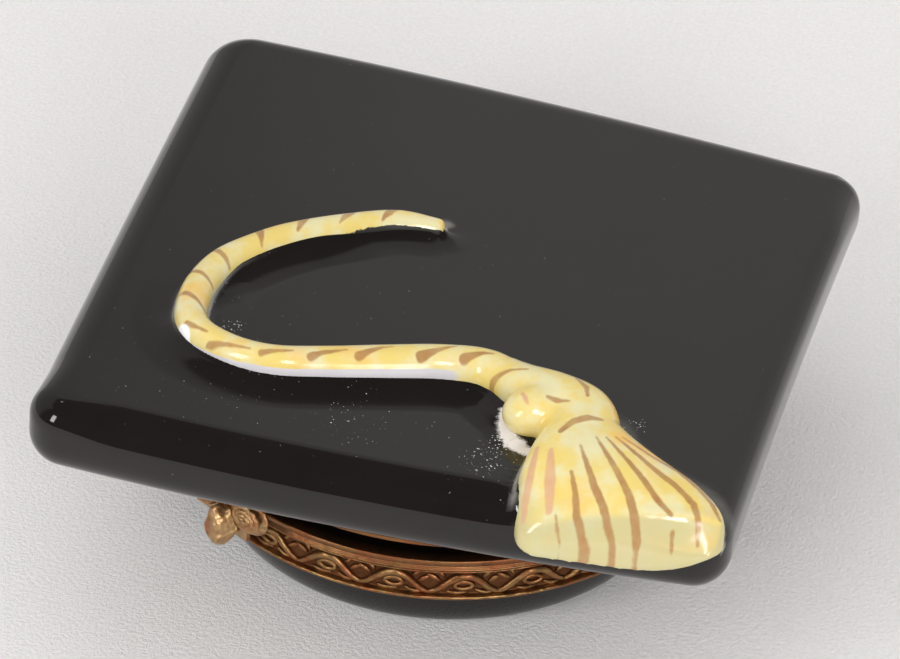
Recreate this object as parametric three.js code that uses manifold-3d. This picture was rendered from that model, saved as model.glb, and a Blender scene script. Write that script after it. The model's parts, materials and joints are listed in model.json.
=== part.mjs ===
// A hinged porcelain trinket box in the shape of a graduation cap. Lengths are in millimetres, +Z is up.
// The origin is the middle of the base's flat underside, and the board's sides run along X and Y.
// Every lid piece is modelled shut, and the lid group then turns about the hinge pin to stand ajar.

import * as THREE from 'three';
import { mergeVertices } from 'three/addons/utils/BufferGeometryUtils.js';
import Module from 'manifold-3d';

const wasm = await Module();
wasm.setup();

// Fits
const seatGap = 0.25; // between a piece and what it is soldered, crimped or fired onto
const seamGap = 0.2; // between the two mounts when the lid is shut
const runningGap = 0.06; // round the hinge pin
const overrun = 1; // how far a cut runs past its piece

// Mortarboard
const boardSide = 57;
const boardThickness = 6.6;
const boardEdgeRadius = 3; // rounding of the upper and lower edges
const boardCornerRound = 0.2; // how far a corner's rounding in plan runs beyond the edge's own
const boardFarLeftRound = 1.5;
const boardNearBow = 1.12; // how far each side swells in its middle
const boardFarBow = 0.64;
const boardLeftBow = 0.08;
const boardRightHollow = 0.27;
const boardCrust = 3.5; // porcelain left above the hollow
const collarHeight = 4.35; // from the seam to the board's underside
const hollowCorner = 1.5;

// Base cup
const seamHeight = 9.15; // top of the base's mount
const bowlRadius = 20.45;
const footInset = 2.25; // how far the wall draws in down to the foot
const shoulderDrop = 4.3; // from the seam down to where the wall turns upright, under the mount
const bowlFloor = 2.4;
const bowlWall = 1.85;
const cavityCorner = 4;

// Brass mounts
const mountStand = 1.95; // how far the base's flange stands out from the cup's wall
const lidMountGrowth = 0.4; // how much larger the lid's mount is
const flangeHeight = 1.05;
const sheet = 0.5; // thickness of the channel's wall
const lipDepth = 1.2; // how far the channel's inner lip reaches down past its web
const galleryHeight = 2.8;
const galleryBead = 0.35; // height of the bead along the gallery's outer edge
const galleryBeadStand = 0.12; // how far the bead stands proud

// Hinge
const hingeAzimuth = 57.5; // degrees round from +X
const ajarAngle = 2.5; // degrees
const knuckleRadius = 1.1;
const knuckleLength = 3.2;
const knuckleGap = 0.25;
const pinRadius = 0.5;
const pinHeadRadius = 0.85;
const pinHeadLength = 0.4;
const leafSheet = 0.45;
const baseLeafHeight = 2.7;
const lidLeafHeight = 2;
const leafClearance = 1.3; // height of the lid leaf's wide edge over the pin, clear of the base's knuckles
const webHeight = 1;
const webDrop = 0.65; // from the pin's middle to the near face of a web

// Clasp
const strapWidth = 2.6;
const strapSheet = 0.45;
const strapStand = 1; // from the base flange's radius to the strap's inner face
const strapDrop = 4.45; // how far the strap hangs below the seam when shut
const strapLap = 0.4; // overlap of the strap's two steps
const strapRise = 3.05; // how far it stands up the lid's mount
const nubStand = 0.42;
const nubWidth = 1.6;
const nubHeight = 0.6;
const nubDrop = 3.8; // from the seam to its underside
const catchWidth = 2;
const catchHeight = 0.6;
const catchDrop = 2.55;
const catchStand = 0.28;
const knobRadius = 1.45;
const knobStand = 3.1; // from the base flange's radius to the knob's middle
const knobDrop = 2.85; // from the seam to the knob's middle when shut
const rivetRadius = 0.45;
const bowStand = 2.2; // from the base flange's radius to the middle of the loops
const bowDrop = 0.95;
const loopThickness = 1;
const loopHalfWidth = 1.9;
const loopHalfHeight = 1.75;
const loopOffset = 2.3;
const bowBarHeight = 2.6;

// Tassel
const cordWidth = 3.1; // at its widest
const knotRadius = 3.3; // where the knot meets the skirt
const knotLobeRadius = 2.3;
const skirtCrown = 3.6; // height of the skirt's crown over the board
const skirtDrop = 3.3; // how far its hem hangs below the board's top

// Counts
const ringSteps = 60;
const pinSteps = 16;
const knobSteps = 16;
const cornerSteps = 6;
const outlineSteps = 8;
const edgeSteps = 6;
const cordRings = 44;
const cordSides = 10;
const knotRings = 16;
const knotSides = 14;
const skirtRings = 14;
const skirtSides = 18;
const endRings = 3;

// Heights and radii that follow from the sizes above
const halfSide = boardSide / 2;
const boardUnderside = seamHeight + seamGap + collarHeight;
const boardTop = boardUnderside + boardThickness;
const cavityRadius = bowlRadius - bowlWall;
const footRadius = bowlRadius - footInset;
const bowlShoulder = seamHeight - shoulderDrop;
const mountRadius = bowlRadius + mountStand;
const channelInner = bowlRadius + seatGap;
const channelOuter = channelInner + sheet;
const lipOuter = cavityRadius - seatGap;
const lipInner = lipOuter - sheet;
const pinHeight = seamHeight + seamGap / 2;
const lidMountRadius = mountRadius + lidMountGrowth;
const baseLeafRadius = mountRadius + seatGap;
const lidLeafRadius = lidMountRadius + seatGap;
const hingeReach = baseLeafRadius + leafSheet + knuckleRadius - runningGap;
const hingeHalfLength = knuckleLength * 1.5 + knuckleGap;

// The board's corners in plan as shares of half its side, counterclockwise from the near left one
const boardCornerShares = [
  [-1.012, -1.03],
  [1.01, -1.009],
  [1.037, 0.939],
  [-1.008, 1.076],
];

// Places on the board as shares of half its side: along X, along Y, and then the section's half width,
// half height and lift over the board as shares of the cord's width
const cordShares = [
  [-0.1, 0.19, 0.3, 0.3, 0.04],
  [-0.22, 0.175, 0.4, 0.4, 0.05],
  [-0.35, 0.105, 0.43, 0.43, 0.06],
  [-0.49, 0.005, 0.44, 0.44, 0.08],
  [-0.58, -0.09, 0.44, 0.44, 0.1],
  [-0.65, -0.197, 0.44, 0.44, 0.13],
  [-0.68, -0.316, 0.44, 0.44, 0.16],
  [-0.68, -0.418, 0.44, 0.45, 0.19],
  [-0.66, -0.51, 0.44, 0.46, 0.22],
  [-0.607, -0.582, 0.45, 0.47, 0.25],
  [-0.495, -0.635, 0.46, 0.48, 0.27],
  [-0.386, -0.646, 0.47, 0.5, 0.29],
  [-0.239, -0.607, 0.49, 0.51, 0.3],
  [-0.08, -0.554, 0.52, 0.53, 0.32],
  [0.08, -0.505, 0.54, 0.55, 0.34],
  [0.196, -0.495, 0.56, 0.56, 0.37],
  [0.3, -0.54, 0.56, 0.56, 0.4],
];

// The knot's path, in the same order, with its section as shares of the knot's radius
const knotShares = [
  [0.27, -0.525, 0.55, 0.55, 0.38],
  [0.345, -0.57, 0.68, 0.66, 0.44],
  [0.43, -0.6, 0.76, 0.74, 0.46],
  [0.505, -0.645, 0.88, 0.8, 0.42],
  [0.528, -0.72, 1, 0.86, 0.26],
];
const knotLobePlaceShares = [0.357, -0.64];
const knotLobeLiftShare = 0.65; // of the lobe's radius

// Rows of the skirt from neck to hem. Each end has its place on the board as shares of half the side, its
// underside as a share of the skirt's drop and its crown as a share of the skirt's crown, left end first.
const skirtShares = [
  [0.415, -0.73, -0.3, 0.95, 0.605, -0.635, -0.3, 0.95],
  [0.4, -0.807, -0.3, 0.95, 0.687, -0.715, -0.3, 0.97],
  [0.393, -0.895, -0.3, 0.82, 0.787, -0.782, -0.3, 0.95],
  [0.397, -0.975, -0.6, 0.6, 0.896, -0.84, -0.3, 0.88],
  [0.415, -1.04, -1, 0.25, 0.97, -0.913, -0.2, 0.75],
  [0.441, -1.08, -1.05, -0.2, 0.994, -0.968, -0.15, 0.55],
  [0.478, -1.092, -1.12, -0.5, 0.995, -1.012, -0.1, 0.3],
  [0.54, -1.086, -1.16, -0.8, 0.972, -1.042, -0.08, 0.1],
];
const undersidePower = 3; // the underside lies low at the left and rises late towards the right
const archPower = 0.5; // squares up the skirt's arch

const degree = Math.PI / 180;

// Materials
const blackGlaze = new THREE.MeshStandardMaterial({ color: 0x1c1917, roughness: 0.12, metalness: 0 });
const yellowGlaze = new THREE.MeshStandardMaterial({ color: 0xecd98c, roughness: 0.15, metalness: 0 });
const giltBrass = new THREE.MeshStandardMaterial({ color: 0xa87a4c, roughness: 0.35, metalness: 1 });

// Joins and cuts

function solidOf(geometry) {
  const plain = geometry.clone();
  plain.deleteAttribute('normal');
  plain.deleteAttribute('uv');
  const merged = mergeVertices(plain);
  const corners = merged.index.array;
  const triangles = [];
  for (let i = 0; i < corners.length; i += 3) {
    const [a, b, c] = corners.subarray(i, i + 3);
    if (a !== b && b !== c && c !== a) triangles.push(a, b, c);
  }
  const mesh = new wasm.Mesh({
    numProp: 3,
    vertProperties: new Float32Array(merged.attributes.position.array),
    triVerts: new Uint32Array(triangles),
  });
  return new wasm.Manifold(mesh);
}

function geometryOf(solid) {
  const { vertProperties, triVerts } = solid.getMesh();
  const geometry = new THREE.BufferGeometry();
  geometry.setAttribute('position', new THREE.BufferAttribute(vertProperties, 3));
  geometry.setIndex(new THREE.BufferAttribute(triVerts, 1));
  geometry.computeVertexNormals();
  return geometry;
}

function largestPiece(solid) {
  const pieces = solid.decompose();
  return pieces.reduce((best, piece) => (piece.volume() > best.volume() ? piece : best));
}

// Turned shapes. A profile is a list of radius and height that runs outwards along its underside.

function turned(profile) {
  const points = profile.map(([radius, height]) => new THREE.Vector2(radius, height));
  return new THREE.LatheGeometry(points, ringSteps).rotateX(Math.PI / 2);
}

function turnedRing(profile) {
  return turned([...profile, profile[0]]);
}

function arc(centreRadius, centreHeight, radius, height, from, to) {
  const points = [];
  for (let i = 0; i <= cornerSteps; i += 1) {
    const angle = from + ((to - from) * i) / cornerSteps;
    points.push([centreRadius + radius * Math.cos(angle), centreHeight + height * Math.sin(angle)]);
  }
  return points;
}

function drum(radius, bottom, top) {
  return turned([[0, bottom], [radius, bottom], [radius, top], [0, top]]);
}

// A plate that follows a ring, centred on +X
function curvedPlate(inner, outer, width, bottom, top) {
  const halfAngle = Math.asin(width / 2 / outer);
  const shape = new THREE.Shape();
  shape.absarc(0, 0, outer, -halfAngle, halfAngle);
  shape.absarc(0, 0, inner, halfAngle, -halfAngle, true);
  const plate = new THREE.ExtrudeGeometry(shape, {
    depth: top - bottom,
    bevelEnabled: false,
    curveSegments: outlineSteps,
  });
  return plate.translate(0, 0, bottom);
}

// A box from its lowest and highest corners
function block(low, high) {
  const size = high.map((value, axis) => value - low[axis]);
  const middle = high.map((value, axis) => (value + low[axis]) / 2);
  return new THREE.BoxGeometry(...size).translate(...middle);
}

// A rod along Y
function rod(radius, from, to, x, z) {
  const cylinder = new THREE.CylinderGeometry(radius, radius, to - from, pinSteps);
  return cylinder.translate(x, (from + to) / 2, z);
}

// Lofts. Each ring is a closed loop of points, and both ends are closed with a fan.

function loft(rings) {
  const count = rings[0].length;
  const positions = rings.flat().flatMap((point) => point.toArray());
  const triangles = [];
  for (let row = 0; row < rings.length - 1; row += 1) {
    for (let i = 0; i < count; i += 1) {
      const next = (i + 1) % count;
      const a = row * count + i;
      const b = row * count + next;
      triangles.push(a, b, b + count, a, b + count, a + count);
    }
  }
  [rings[0], rings[rings.length - 1]].forEach((ring, end) => {
    const centre = ring.reduce((sum, point) => sum.add(point), new THREE.Vector3()).divideScalar(count);
    const middle = positions.length / 3;
    positions.push(...centre.toArray());
    const first = end * (rings.length - 1) * count;
    for (let i = 0; i < count; i += 1) {
      const a = first + i;
      const b = first + ((i + 1) % count);
      triangles.push(...(end ? [a, b, middle] : [b, a, middle]));
    }
  });
  const geometry = new THREE.BufferGeometry();
  geometry.setAttribute('position', new THREE.Float32BufferAttribute(positions, 3));
  geometry.setIndex(triangles);
  return geometry;
}

// A tapering bar with rounded ends that lies along a path on the board
function barOnBoard(table, width, ringCount, sides, grow) {
  const path = new THREE.CatmullRomCurve3(
    table.map(([x, y, , , lift]) => new THREE.Vector3(x * halfSide, y * halfSide, boardTop + lift * width)),
  );
  const section = new THREE.CatmullRomCurve3(
    table.map(([, , across, high]) => new THREE.Vector3(across * width, high * width, 0)),
  );
  const rings = [];
  function addRing(t, swell, reach) {
    const centre = path.getPoint(t);
    const along = path.getTangent(t).setZ(0).normalize();
    const side = new THREE.Vector3(-along.y, along.x, 0);
    const size = section.getPoint(t);
    centre.addScaledVector(along, reach * (size.x + grow));
    const ring = [];
    for (let i = 0; i < sides; i += 1) {
      const angle = (2 * Math.PI * i) / sides;
      const point = centre.clone().addScaledVector(side, Math.cos(angle) * swell * (size.x + grow));
      point.z += Math.sin(angle) * swell * (size.y + grow);
      ring.push(point);
    }
    rings.push(ring);
  }
  for (let i = 1; i <= endRings; i += 1) {
    const angle = (Math.PI / 2) * (i / (endRings + 1));
    addRing(0, Math.sin(angle), -Math.cos(angle));
  }
  for (let i = 0; i <= ringCount; i += 1) addRing(i / ringCount, 1, 0);
  for (let i = endRings; i >= 1; i -= 1) {
    const angle = (Math.PI / 2) * (i / (endRings + 1));
    addRing(1, Math.sin(angle), Math.cos(angle));
  }
  return loft(rings);
}

// Base

function baseBowl() {
  const rimHeight = seamHeight - sheet - seatGap;
  const outer = arc(footRadius, bowlShoulder, bowlRadius - footRadius, bowlShoulder, -Math.PI / 2, 0);
  const inner = arc(cavityRadius - cavityCorner, bowlFloor + cavityCorner, cavityCorner, cavityCorner, 0, -Math.PI / 2);
  return turned([
    [0, 0],
    ...outer,
    [bowlRadius, rimHeight],
    [cavityRadius, rimHeight],
    ...inner,
    [0, bowlFloor],
  ]);
}

// The channel's section, from the seam away from the box's other half. Its far wall stops short of the
// shoulder or the board, and a mirrored copy serves the lid.
function channelProfile(growth, wallReach) {
  return [
    [channelInner + growth, -wallReach],
    [channelOuter + growth, -wallReach],
    [channelOuter + growth, -flangeHeight],
    [mountRadius + growth, -flangeHeight],
    [mountRadius + growth, 0],
    [lipInner, 0],
    [lipInner, -sheet - lipDepth],
    [lipOuter, -sheet - lipDepth],
    [lipOuter, -sheet],
    [channelInner + growth, -sheet],
  ];
}

function galleryProfile(growth) {
  const outer = mountRadius + growth - galleryBeadStand;
  const inner = channelOuter + growth + seatGap;
  const top = -flangeHeight - seatGap;
  const bottom = top - galleryHeight;
  return [
    [inner, bottom],
    [outer + galleryBeadStand, bottom],
    [outer + galleryBeadStand, bottom + galleryBead],
    [outer, bottom + galleryBead],
    [outer, top],
    [inner, top],
  ];
}

function raised(profile, height) {
  return profile.map(([radius, z]) => [radius, height + z]);
}

// Turned over, a profile is read backwards so that it still runs outwards along its underside
function turnedOver(profile, height) {
  return profile.map(([radius, z]) => [radius, height - z]).reverse();
}

const baseWallReach = seamHeight - bowlShoulder - seatGap;
const lidSeam = seamHeight + seamGap;
const lidWallReach = collarHeight - seatGap;

function baseCatch() {
  const inner = mountRadius + seatGap - galleryBeadStand;
  const bottom = seamHeight - catchDrop;
  return curvedPlate(inner, inner + catchStand, catchWidth, bottom, bottom + catchHeight);
}

// Hinge, built with the box's axis at the origin and the pin beyond it on +X

function knuckleSolid(from, to, web) {
  const barrel = solidOf(rod(knuckleRadius, from, to, hingeReach, pinHeight));
  return barrel.add(solidOf(block([cavityRadius, from, web[0]], [hingeReach, to, web[1]])));
}

function leafSolid(plate, knuckles, coreRadius) {
  const bore = rod(pinRadius + runningGap, -hingeHalfLength - overrun, hingeHalfLength + overrun, hingeReach, pinHeight);
  const core = drum(coreRadius, -overrun, boardTop);
  const joined = knuckles.reduce((sum, knuckle) => sum.add(knuckle), plate);
  return joined.subtract(solidOf(core)).subtract(solidOf(bore));
}

function baseHingeLeaf() {
  const top = pinHeight - leafClearance + seatGap;
  const plate = curvedPlate(
    baseLeafRadius - overrun,
    baseLeafRadius + leafSheet,
    2 * hingeHalfLength,
    top - baseLeafHeight,
    top,
  );
  const web = [pinHeight - webDrop - webHeight, pinHeight - webDrop];
  const from = knuckleLength / 2 + knuckleGap;
  const knuckles = [knuckleSolid(from, hingeHalfLength, web), knuckleSolid(-hingeHalfLength, -from, web)];
  return geometryOf(leafSolid(solidOf(plate), knuckles, baseLeafRadius));
}

function lidHingeLeaf() {
  const bottom = pinHeight + leafClearance;
  const outer = lidLeafRadius + leafSheet;
  const plate = curvedPlate(lidLeafRadius - overrun, outer, 2 * hingeHalfLength, bottom, bottom + lidLeafHeight);
  const web = [pinHeight + webDrop, bottom + webHeight];
  const knuckle = knuckleSolid(-knuckleLength / 2, knuckleLength / 2, web);
  return geometryOf(leafSolid(solidOf(plate), [knuckle], lidLeafRadius));
}

function hingePin() {
  const headSeat = hingeHalfLength + knuckleGap / 2;
  const end = headSeat + pinHeadLength;
  const crown = pinHeadRadius / 2;
  const profile = [
    [0, -end],
    [crown, -end],
    [pinHeadRadius, -headSeat - pinHeadLength / 2],
    [pinHeadRadius, -headSeat],
    [pinRadius, -headSeat],
    [pinRadius, headSeat],
    [pinHeadRadius, headSeat],
    [pinHeadRadius, headSeat + pinHeadLength / 2],
    [crown, end],
    [0, end],
  ];
  const points = profile.map(([radius, along]) => new THREE.Vector2(radius, along));
  return new THREE.LatheGeometry(points, pinSteps).translate(hingeReach, 0, pinHeight);
}

// Lid

function boardOutline() {
  const bows = [boardNearBow, -boardRightHollow, boardFarBow, boardLeftBow];
  const rounds = [boardCornerRound, boardCornerRound, boardCornerRound, boardFarLeftRound];
  const corners = boardCornerShares.map(
    ([x, y]) => new THREE.Vector2(
      x * halfSide - Math.sign(x) * boardEdgeRadius,
      y * halfSide - Math.sign(y) * boardEdgeRadius,
    ),
  );
  const sides = corners.map((from, i) => {
    const after = (i + 1) % corners.length;
    const corner = corners[after];
    const along = corner.clone().sub(from).normalize();
    const outwards = new THREE.Vector2(along.y, -along.x);
    const start = from.clone().addScaledVector(along, rounds[i]);
    const end = corner.clone().addScaledVector(along, -rounds[after]);
    const bow = from.clone().lerp(corner, 0.5).addScaledVector(outwards, 2 * bows[i]);
    return { start, bow, end, corner };
  });
  const shape = new THREE.Shape();
  shape.moveTo(sides[0].start.x, sides[0].start.y);
  sides.forEach(({ bow, end, corner }, i) => {
    const { start } = sides[(i + 1) % sides.length];
    shape.quadraticCurveTo(bow.x, bow.y, end.x, end.y);
    shape.quadraticCurveTo(corner.x, corner.y, start.x, start.y);
  });
  return shape;
}

function boardSolid(grow) {
  const board = new THREE.ExtrudeGeometry(boardOutline(), {
    depth: boardThickness - 2 * boardEdgeRadius,
    bevelThickness: boardEdgeRadius + grow,
    bevelSize: boardEdgeRadius + grow,
    bevelSegments: edgeSteps,
    curveSegments: outlineSteps,
  });
  return solidOf(board.translate(0, 0, boardUnderside + boardEdgeRadius));
}

function mortarboard() {
  const collarBottom = lidSeam + sheet + seatGap;
  const collar = turnedRing([
    [cavityRadius - overrun, collarBottom],
    [bowlRadius + lidMountGrowth, collarBottom],
    [bowlRadius + lidMountGrowth, boardUnderside + boardEdgeRadius],
    [cavityRadius - overrun, boardUnderside + boardEdgeRadius],
  ]);
  const hollowTop = boardTop - boardCrust;
  const hollow = turned([
    [0, lidSeam - overrun],
    [cavityRadius, lidSeam - overrun],
    ...arc(cavityRadius - hollowCorner, hollowTop - hollowCorner, hollowCorner, hollowCorner, 0, Math.PI / 2),
    [0, hollowTop],
  ]);
  return geometryOf(boardSolid(0).add(solidOf(collar)).subtract(solidOf(hollow)));
}

// The raised work is cut clear of the board below it, and the cord and skirt clear of the knot

function knotSolid(grow) {
  const bar = solidOf(barOnBoard(knotShares, knotRadius, knotRings, knotSides, grow));
  const [lobeX, lobeY] = knotLobePlaceShares;
  const lobe = new THREE.SphereGeometry(knotLobeRadius + grow, knotSides, knotSides);
  lobe.translate(lobeX * halfSide, lobeY * halfSide, boardTop + knotLobeLiftShare * knotLobeRadius);
  return bar.add(solidOf(lobe));
}

function skirtLoft() {
  const curves = [0, 4].flatMap((end) => [
    new THREE.CatmullRomCurve3(
      skirtShares.map((row) => new THREE.Vector3(row[end] * halfSide, row[end + 1] * halfSide, 0)),
    ),
    new THREE.CatmullRomCurve3(
      skirtShares.map((row) => new THREE.Vector3(row[end + 2] * skirtDrop, row[end + 3] * skirtCrown, 0)),
    ),
  ]);
  const rings = [];
  for (let i = 0; i <= skirtRings; i += 1) {
    const [left, leftHeights, right, rightHeights] = curves.map((curve) => curve.getPoint(i / skirtRings));
    const ring = [];
    for (let k = 0; k < 2 * skirtSides; k += 1) {
      const angle = (Math.PI * k) / skirtSides;
      const across = (1 + Math.cos(angle)) / 2;
      const point = left.clone().lerp(right, across);
      const underside = THREE.MathUtils.lerp(leftHeights.x, rightHeights.x, across ** undersidePower);
      const crown = THREE.MathUtils.lerp(leftHeights.y, rightHeights.y, across);
      const arch = Math.max(0, Math.sin(angle)) ** archPower;
      point.z = boardTop + underside + (crown - underside) * arch;
      ring.push(point);
    }
    rings.push(ring);
  }
  return loft(rings);
}

const clearOfBoard = boardSolid(seatGap);
const clearOfKnot = knotSolid(seatGap);

function tasselCord() {
  const bar = solidOf(barOnBoard(cordShares, cordWidth, cordRings, cordSides, 0));
  return geometryOf(largestPiece(bar.subtract(clearOfBoard).subtract(clearOfKnot)));
}

function tasselKnot() {
  return geometryOf(largestPiece(knotSolid(0).subtract(clearOfBoard)));
}

function tasselSkirt() {
  return geometryOf(largestPiece(solidOf(skirtLoft()).subtract(clearOfBoard).subtract(clearOfKnot)));
}

// Clasp, built with the box's axis at the origin and the clasp on +X

const strapInner = mountRadius + strapStand;
const knobReach = mountRadius + knobStand;
const knobHeight = seamHeight - knobDrop;
const bowReach = mountRadius + bowStand;
const bowHeight = seamHeight - bowDrop;

function knobSolid(grow) {
  const ball = new THREE.SphereGeometry(knobRadius + grow, knobSteps, knobSteps);
  const shank = new THREE.CylinderGeometry(
    rivetRadius + grow,
    rivetRadius + grow,
    knobReach - strapInner,
    pinSteps,
  );
  shank.rotateZ(Math.PI / 2).translate((knobReach + strapInner) / 2, 0, knobHeight);
  return solidOf(ball.translate(knobReach, 0, knobHeight)).add(solidOf(shank));
}

function claspTongue() {
  const outer = strapInner + strapSheet;
  const middle = strapInner + strapSheet / 2;
  const nubBottom = seamHeight - nubDrop;
  const lower = curvedPlate(strapInner, outer, strapWidth, seamHeight - strapDrop, lidSeam + 2 * strapLap);
  const upper = curvedPlate(lidLeafRadius, middle, strapWidth, lidSeam + strapLap, lidSeam + strapRise);
  const nub = curvedPlate(strapInner - nubStand, middle, nubWidth, nubBottom, nubBottom + nubHeight);
  const strap = solidOf(lower).add(solidOf(upper)).add(solidOf(nub));
  return geometryOf(strap.subtract(knobSolid(seatGap)));
}

function claspBow() {
  const inner = bowReach - loopThickness / 2;
  const bar = block(
    [inner, -loopOffset, bowHeight - bowBarHeight / 2],
    [bowReach + loopThickness / 2, loopOffset, bowHeight + bowBarHeight / 2],
  );
  let bow = solidOf(bar);
  for (const side of [-1, 1]) {
    const loop = new THREE.SphereGeometry(1, knobSteps, knobSteps);
    loop.scale(loopThickness / 2, loopHalfWidth, loopHalfHeight);
    loop.translate(bowReach, 0, bowHeight).rotateZ((side * loopOffset) / bowReach);
    bow = bow.add(solidOf(loop));
  }
  return geometryOf(bow.subtract(knobSolid(seatGap)));
}

// Assembly

function piece(name, geometry, material) {
  const mesh = new THREE.Mesh(geometry, material);
  mesh.name = name;
  return mesh;
}

function facing(azimuth, ...meshes) {
  const group = new THREE.Group();
  group.rotation.z = azimuth * degree;
  group.add(...meshes);
  return group;
}

const claspAzimuth = hingeAzimuth + 180;

const base = new THREE.Group();
base.add(
  piece('base_bowl', baseBowl(), blackGlaze),
  piece('base_rim', turnedRing(raised(channelProfile(0, baseWallReach), seamHeight)), giltBrass),
  piece('base_gallery', turnedRing(raised(galleryProfile(0), seamHeight)), giltBrass),
  facing(claspAzimuth, piece('base_catch', baseCatch(), giltBrass)),
  facing(
    hingeAzimuth,
    piece('base_hinge_leaf', baseHingeLeaf(), giltBrass),
    piece('hinge_pin', hingePin(), giltBrass),
  ),
);

const lidShut = new THREE.Group();
lidShut.add(
  piece('mortarboard', mortarboard(), blackGlaze),
  piece('lid_rim', turnedRing(turnedOver(channelProfile(lidMountGrowth, lidWallReach), lidSeam)), giltBrass),
  piece('lid_gallery', turnedRing(turnedOver(galleryProfile(lidMountGrowth), lidSeam)), giltBrass),
  piece('tassel_cord', tasselCord(), yellowGlaze),
  piece('tassel_knot', tasselKnot(), yellowGlaze),
  piece('tassel_skirt', tasselSkirt(), yellowGlaze),
  facing(hingeAzimuth, piece('lid_hinge_leaf', lidHingeLeaf(), giltBrass)),
  facing(
    claspAzimuth,
    piece('clasp_tongue', claspTongue(), giltBrass),
    piece('clasp_bow', claspBow(), giltBrass),
    piece('clasp_knob', geometryOf(knobSolid(0)), giltBrass),
  ),
);

// The lid stands ajar: it turns about the pin, whose axis is square to the hinge's azimuth
const pinPlace = new THREE.Vector3(hingeReach, 0, pinHeight).applyAxisAngle(
  new THREE.Vector3(0, 0, 1),
  hingeAzimuth * degree,
);
const pinAxis = new THREE.Vector3(0, 1, 0).applyAxisAngle(new THREE.Vector3(0, 0, 1), hingeAzimuth * degree);
const lid = new THREE.Group();
lid.position.copy(pinPlace);
lid.quaternion.setFromAxisAngle(pinAxis, ajarAngle * degree);
lidShut.position.copy(pinPlace).negate();
lid.add(lidShut);

const graduationCap = new THREE.Group();
graduationCap.add(base, lid);

export default graduationCap;
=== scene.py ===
import json
import math

import bmesh
import bpy
import numpy as np
from mathutils import Matrix, Vector


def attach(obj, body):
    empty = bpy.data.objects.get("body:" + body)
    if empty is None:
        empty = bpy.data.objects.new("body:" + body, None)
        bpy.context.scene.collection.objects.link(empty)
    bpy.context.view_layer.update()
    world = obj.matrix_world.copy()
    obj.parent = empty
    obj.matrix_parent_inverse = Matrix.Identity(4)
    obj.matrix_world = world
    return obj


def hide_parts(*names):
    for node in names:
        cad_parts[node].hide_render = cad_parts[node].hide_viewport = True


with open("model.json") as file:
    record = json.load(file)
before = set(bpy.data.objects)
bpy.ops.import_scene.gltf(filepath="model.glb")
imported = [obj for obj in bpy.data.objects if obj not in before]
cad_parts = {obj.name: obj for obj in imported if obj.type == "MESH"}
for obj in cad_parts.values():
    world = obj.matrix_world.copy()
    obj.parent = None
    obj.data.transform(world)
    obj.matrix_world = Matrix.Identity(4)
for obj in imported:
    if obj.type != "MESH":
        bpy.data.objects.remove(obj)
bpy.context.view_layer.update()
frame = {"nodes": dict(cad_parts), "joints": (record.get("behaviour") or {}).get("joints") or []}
print("frame loaded,", len(frame["nodes"]), "solids")

# Shapes are written in millimetres and leave the helpers in metres.
# Lamps, noise scales and bump heights are in metres.
mm = 0.001

# The lid is modelled shut and then swung ajar about the hinge pin
lidHinge = frame["joints"][0]
pinPlace = Vector(lidHinge["pos_m"])
pinAxis = Vector(lidHinge["axis"])
ajar = (
    Matrix.Translation(pinPlace)
    @ Matrix.Rotation(math.radians(-lidHinge["range_deg"][0]), 4, pinAxis)
    @ Matrix.Translation(-pinPlace)
)

# Sizes that several pieces share
shared = {
    "cavityRadius": 18.6,
    "mountRadius": 22.4,
    "boardUnderside": 13.7,
    "boardTop": 20.3,
    "halfSide": 28.5,
}
boardTop = shared["boardTop"]
halfSide = shared["halfSide"]

# For each body the seam's height, the side that its metal lies on and how much wider it is
seams = {
    "base": (9.15, -1, 0),
    "lid": (9.35, 1, 0.4),
}


def placed(name, data):
    thing = bpy.data.objects.new(name, data)
    bpy.context.scene.collection.objects.link(thing)
    return thing


# Camera

cameraValues = {
    "place": (98.54, -459.96, 372.67),
    "azimuth": 12.1,
    "elevation": 37.19,
    "roll": 2.55,
    "lens": 285.24,
    "sensorWidth": 36,
    "clip": (0.02, 20),
}


def placeCamera(values):
    azimuth, elevation, roll = (math.radians(values[key]) for key in ("azimuth", "elevation", "roll"))
    level = math.cos(elevation)
    ahead = Vector((-math.sin(azimuth) * level, math.cos(azimuth) * level, -math.sin(elevation)))
    right = Vector((math.cos(azimuth), math.sin(azimuth), 0))
    up = right.cross(ahead)
    tiltedRight = right * math.cos(roll) + up * math.sin(roll)
    tiltedUp = up * math.cos(roll) - right * math.sin(roll)
    data = bpy.data.cameras.new("camera")
    data.sensor_fit = "HORIZONTAL"
    data.sensor_width = values["sensorWidth"]
    data.lens = values["lens"]
    data.clip_start, data.clip_end = values["clip"]
    camera = placed("camera", data)
    turn = Matrix((tiltedRight, tiltedUp, -ahead)).transposed().to_4x4()
    camera.matrix_world = Matrix.Translation(Vector(values["place"]) * mm) @ turn
    bpy.context.scene.camera = camera


placeCamera(cameraValues)
bpy.context.scene.view_settings.view_transform = "Standard"
print("camera placed")


# Mesh helpers


def ringFaces(rows, count, looped=False):
    faces = []
    for row in range(rows if looped else rows - 1):
        low = row * count
        high = (row + 1) % rows * count
        for k in range(count):
            after = (k + 1) % count
            faces.append((low + k, low + after, high + after, high + k))
    return faces


# Rings of points become a skin; a pole closes an end, and looped joins the last ring to the first
def skin(rings, firstPole=None, lastPole=None, looped=False):
    rings = np.asarray(rings, float)
    rows, count = rings.shape[:2]
    points = rings.reshape(-1, 3)
    faces = ringFaces(rows, count, looped)
    for pole, row in ((firstPole, 0), (lastPole, rows - 1)):
        if pole is None:
            continue
        middle = len(points)
        points = np.vstack([points, pole])
        start = row * count
        faces += [(start + k, start + (k + 1) % count, middle) for k in range(count)]
    return points, faces


def joined(*skins):
    points = []
    faces = []
    start = 0
    for somePoints, someFaces in skins:
        points.append(somePoints)
        faces += [tuple(index + start for index in face) for face in someFaces]
        start += len(somePoints)
    return np.vstack(points), faces


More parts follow.
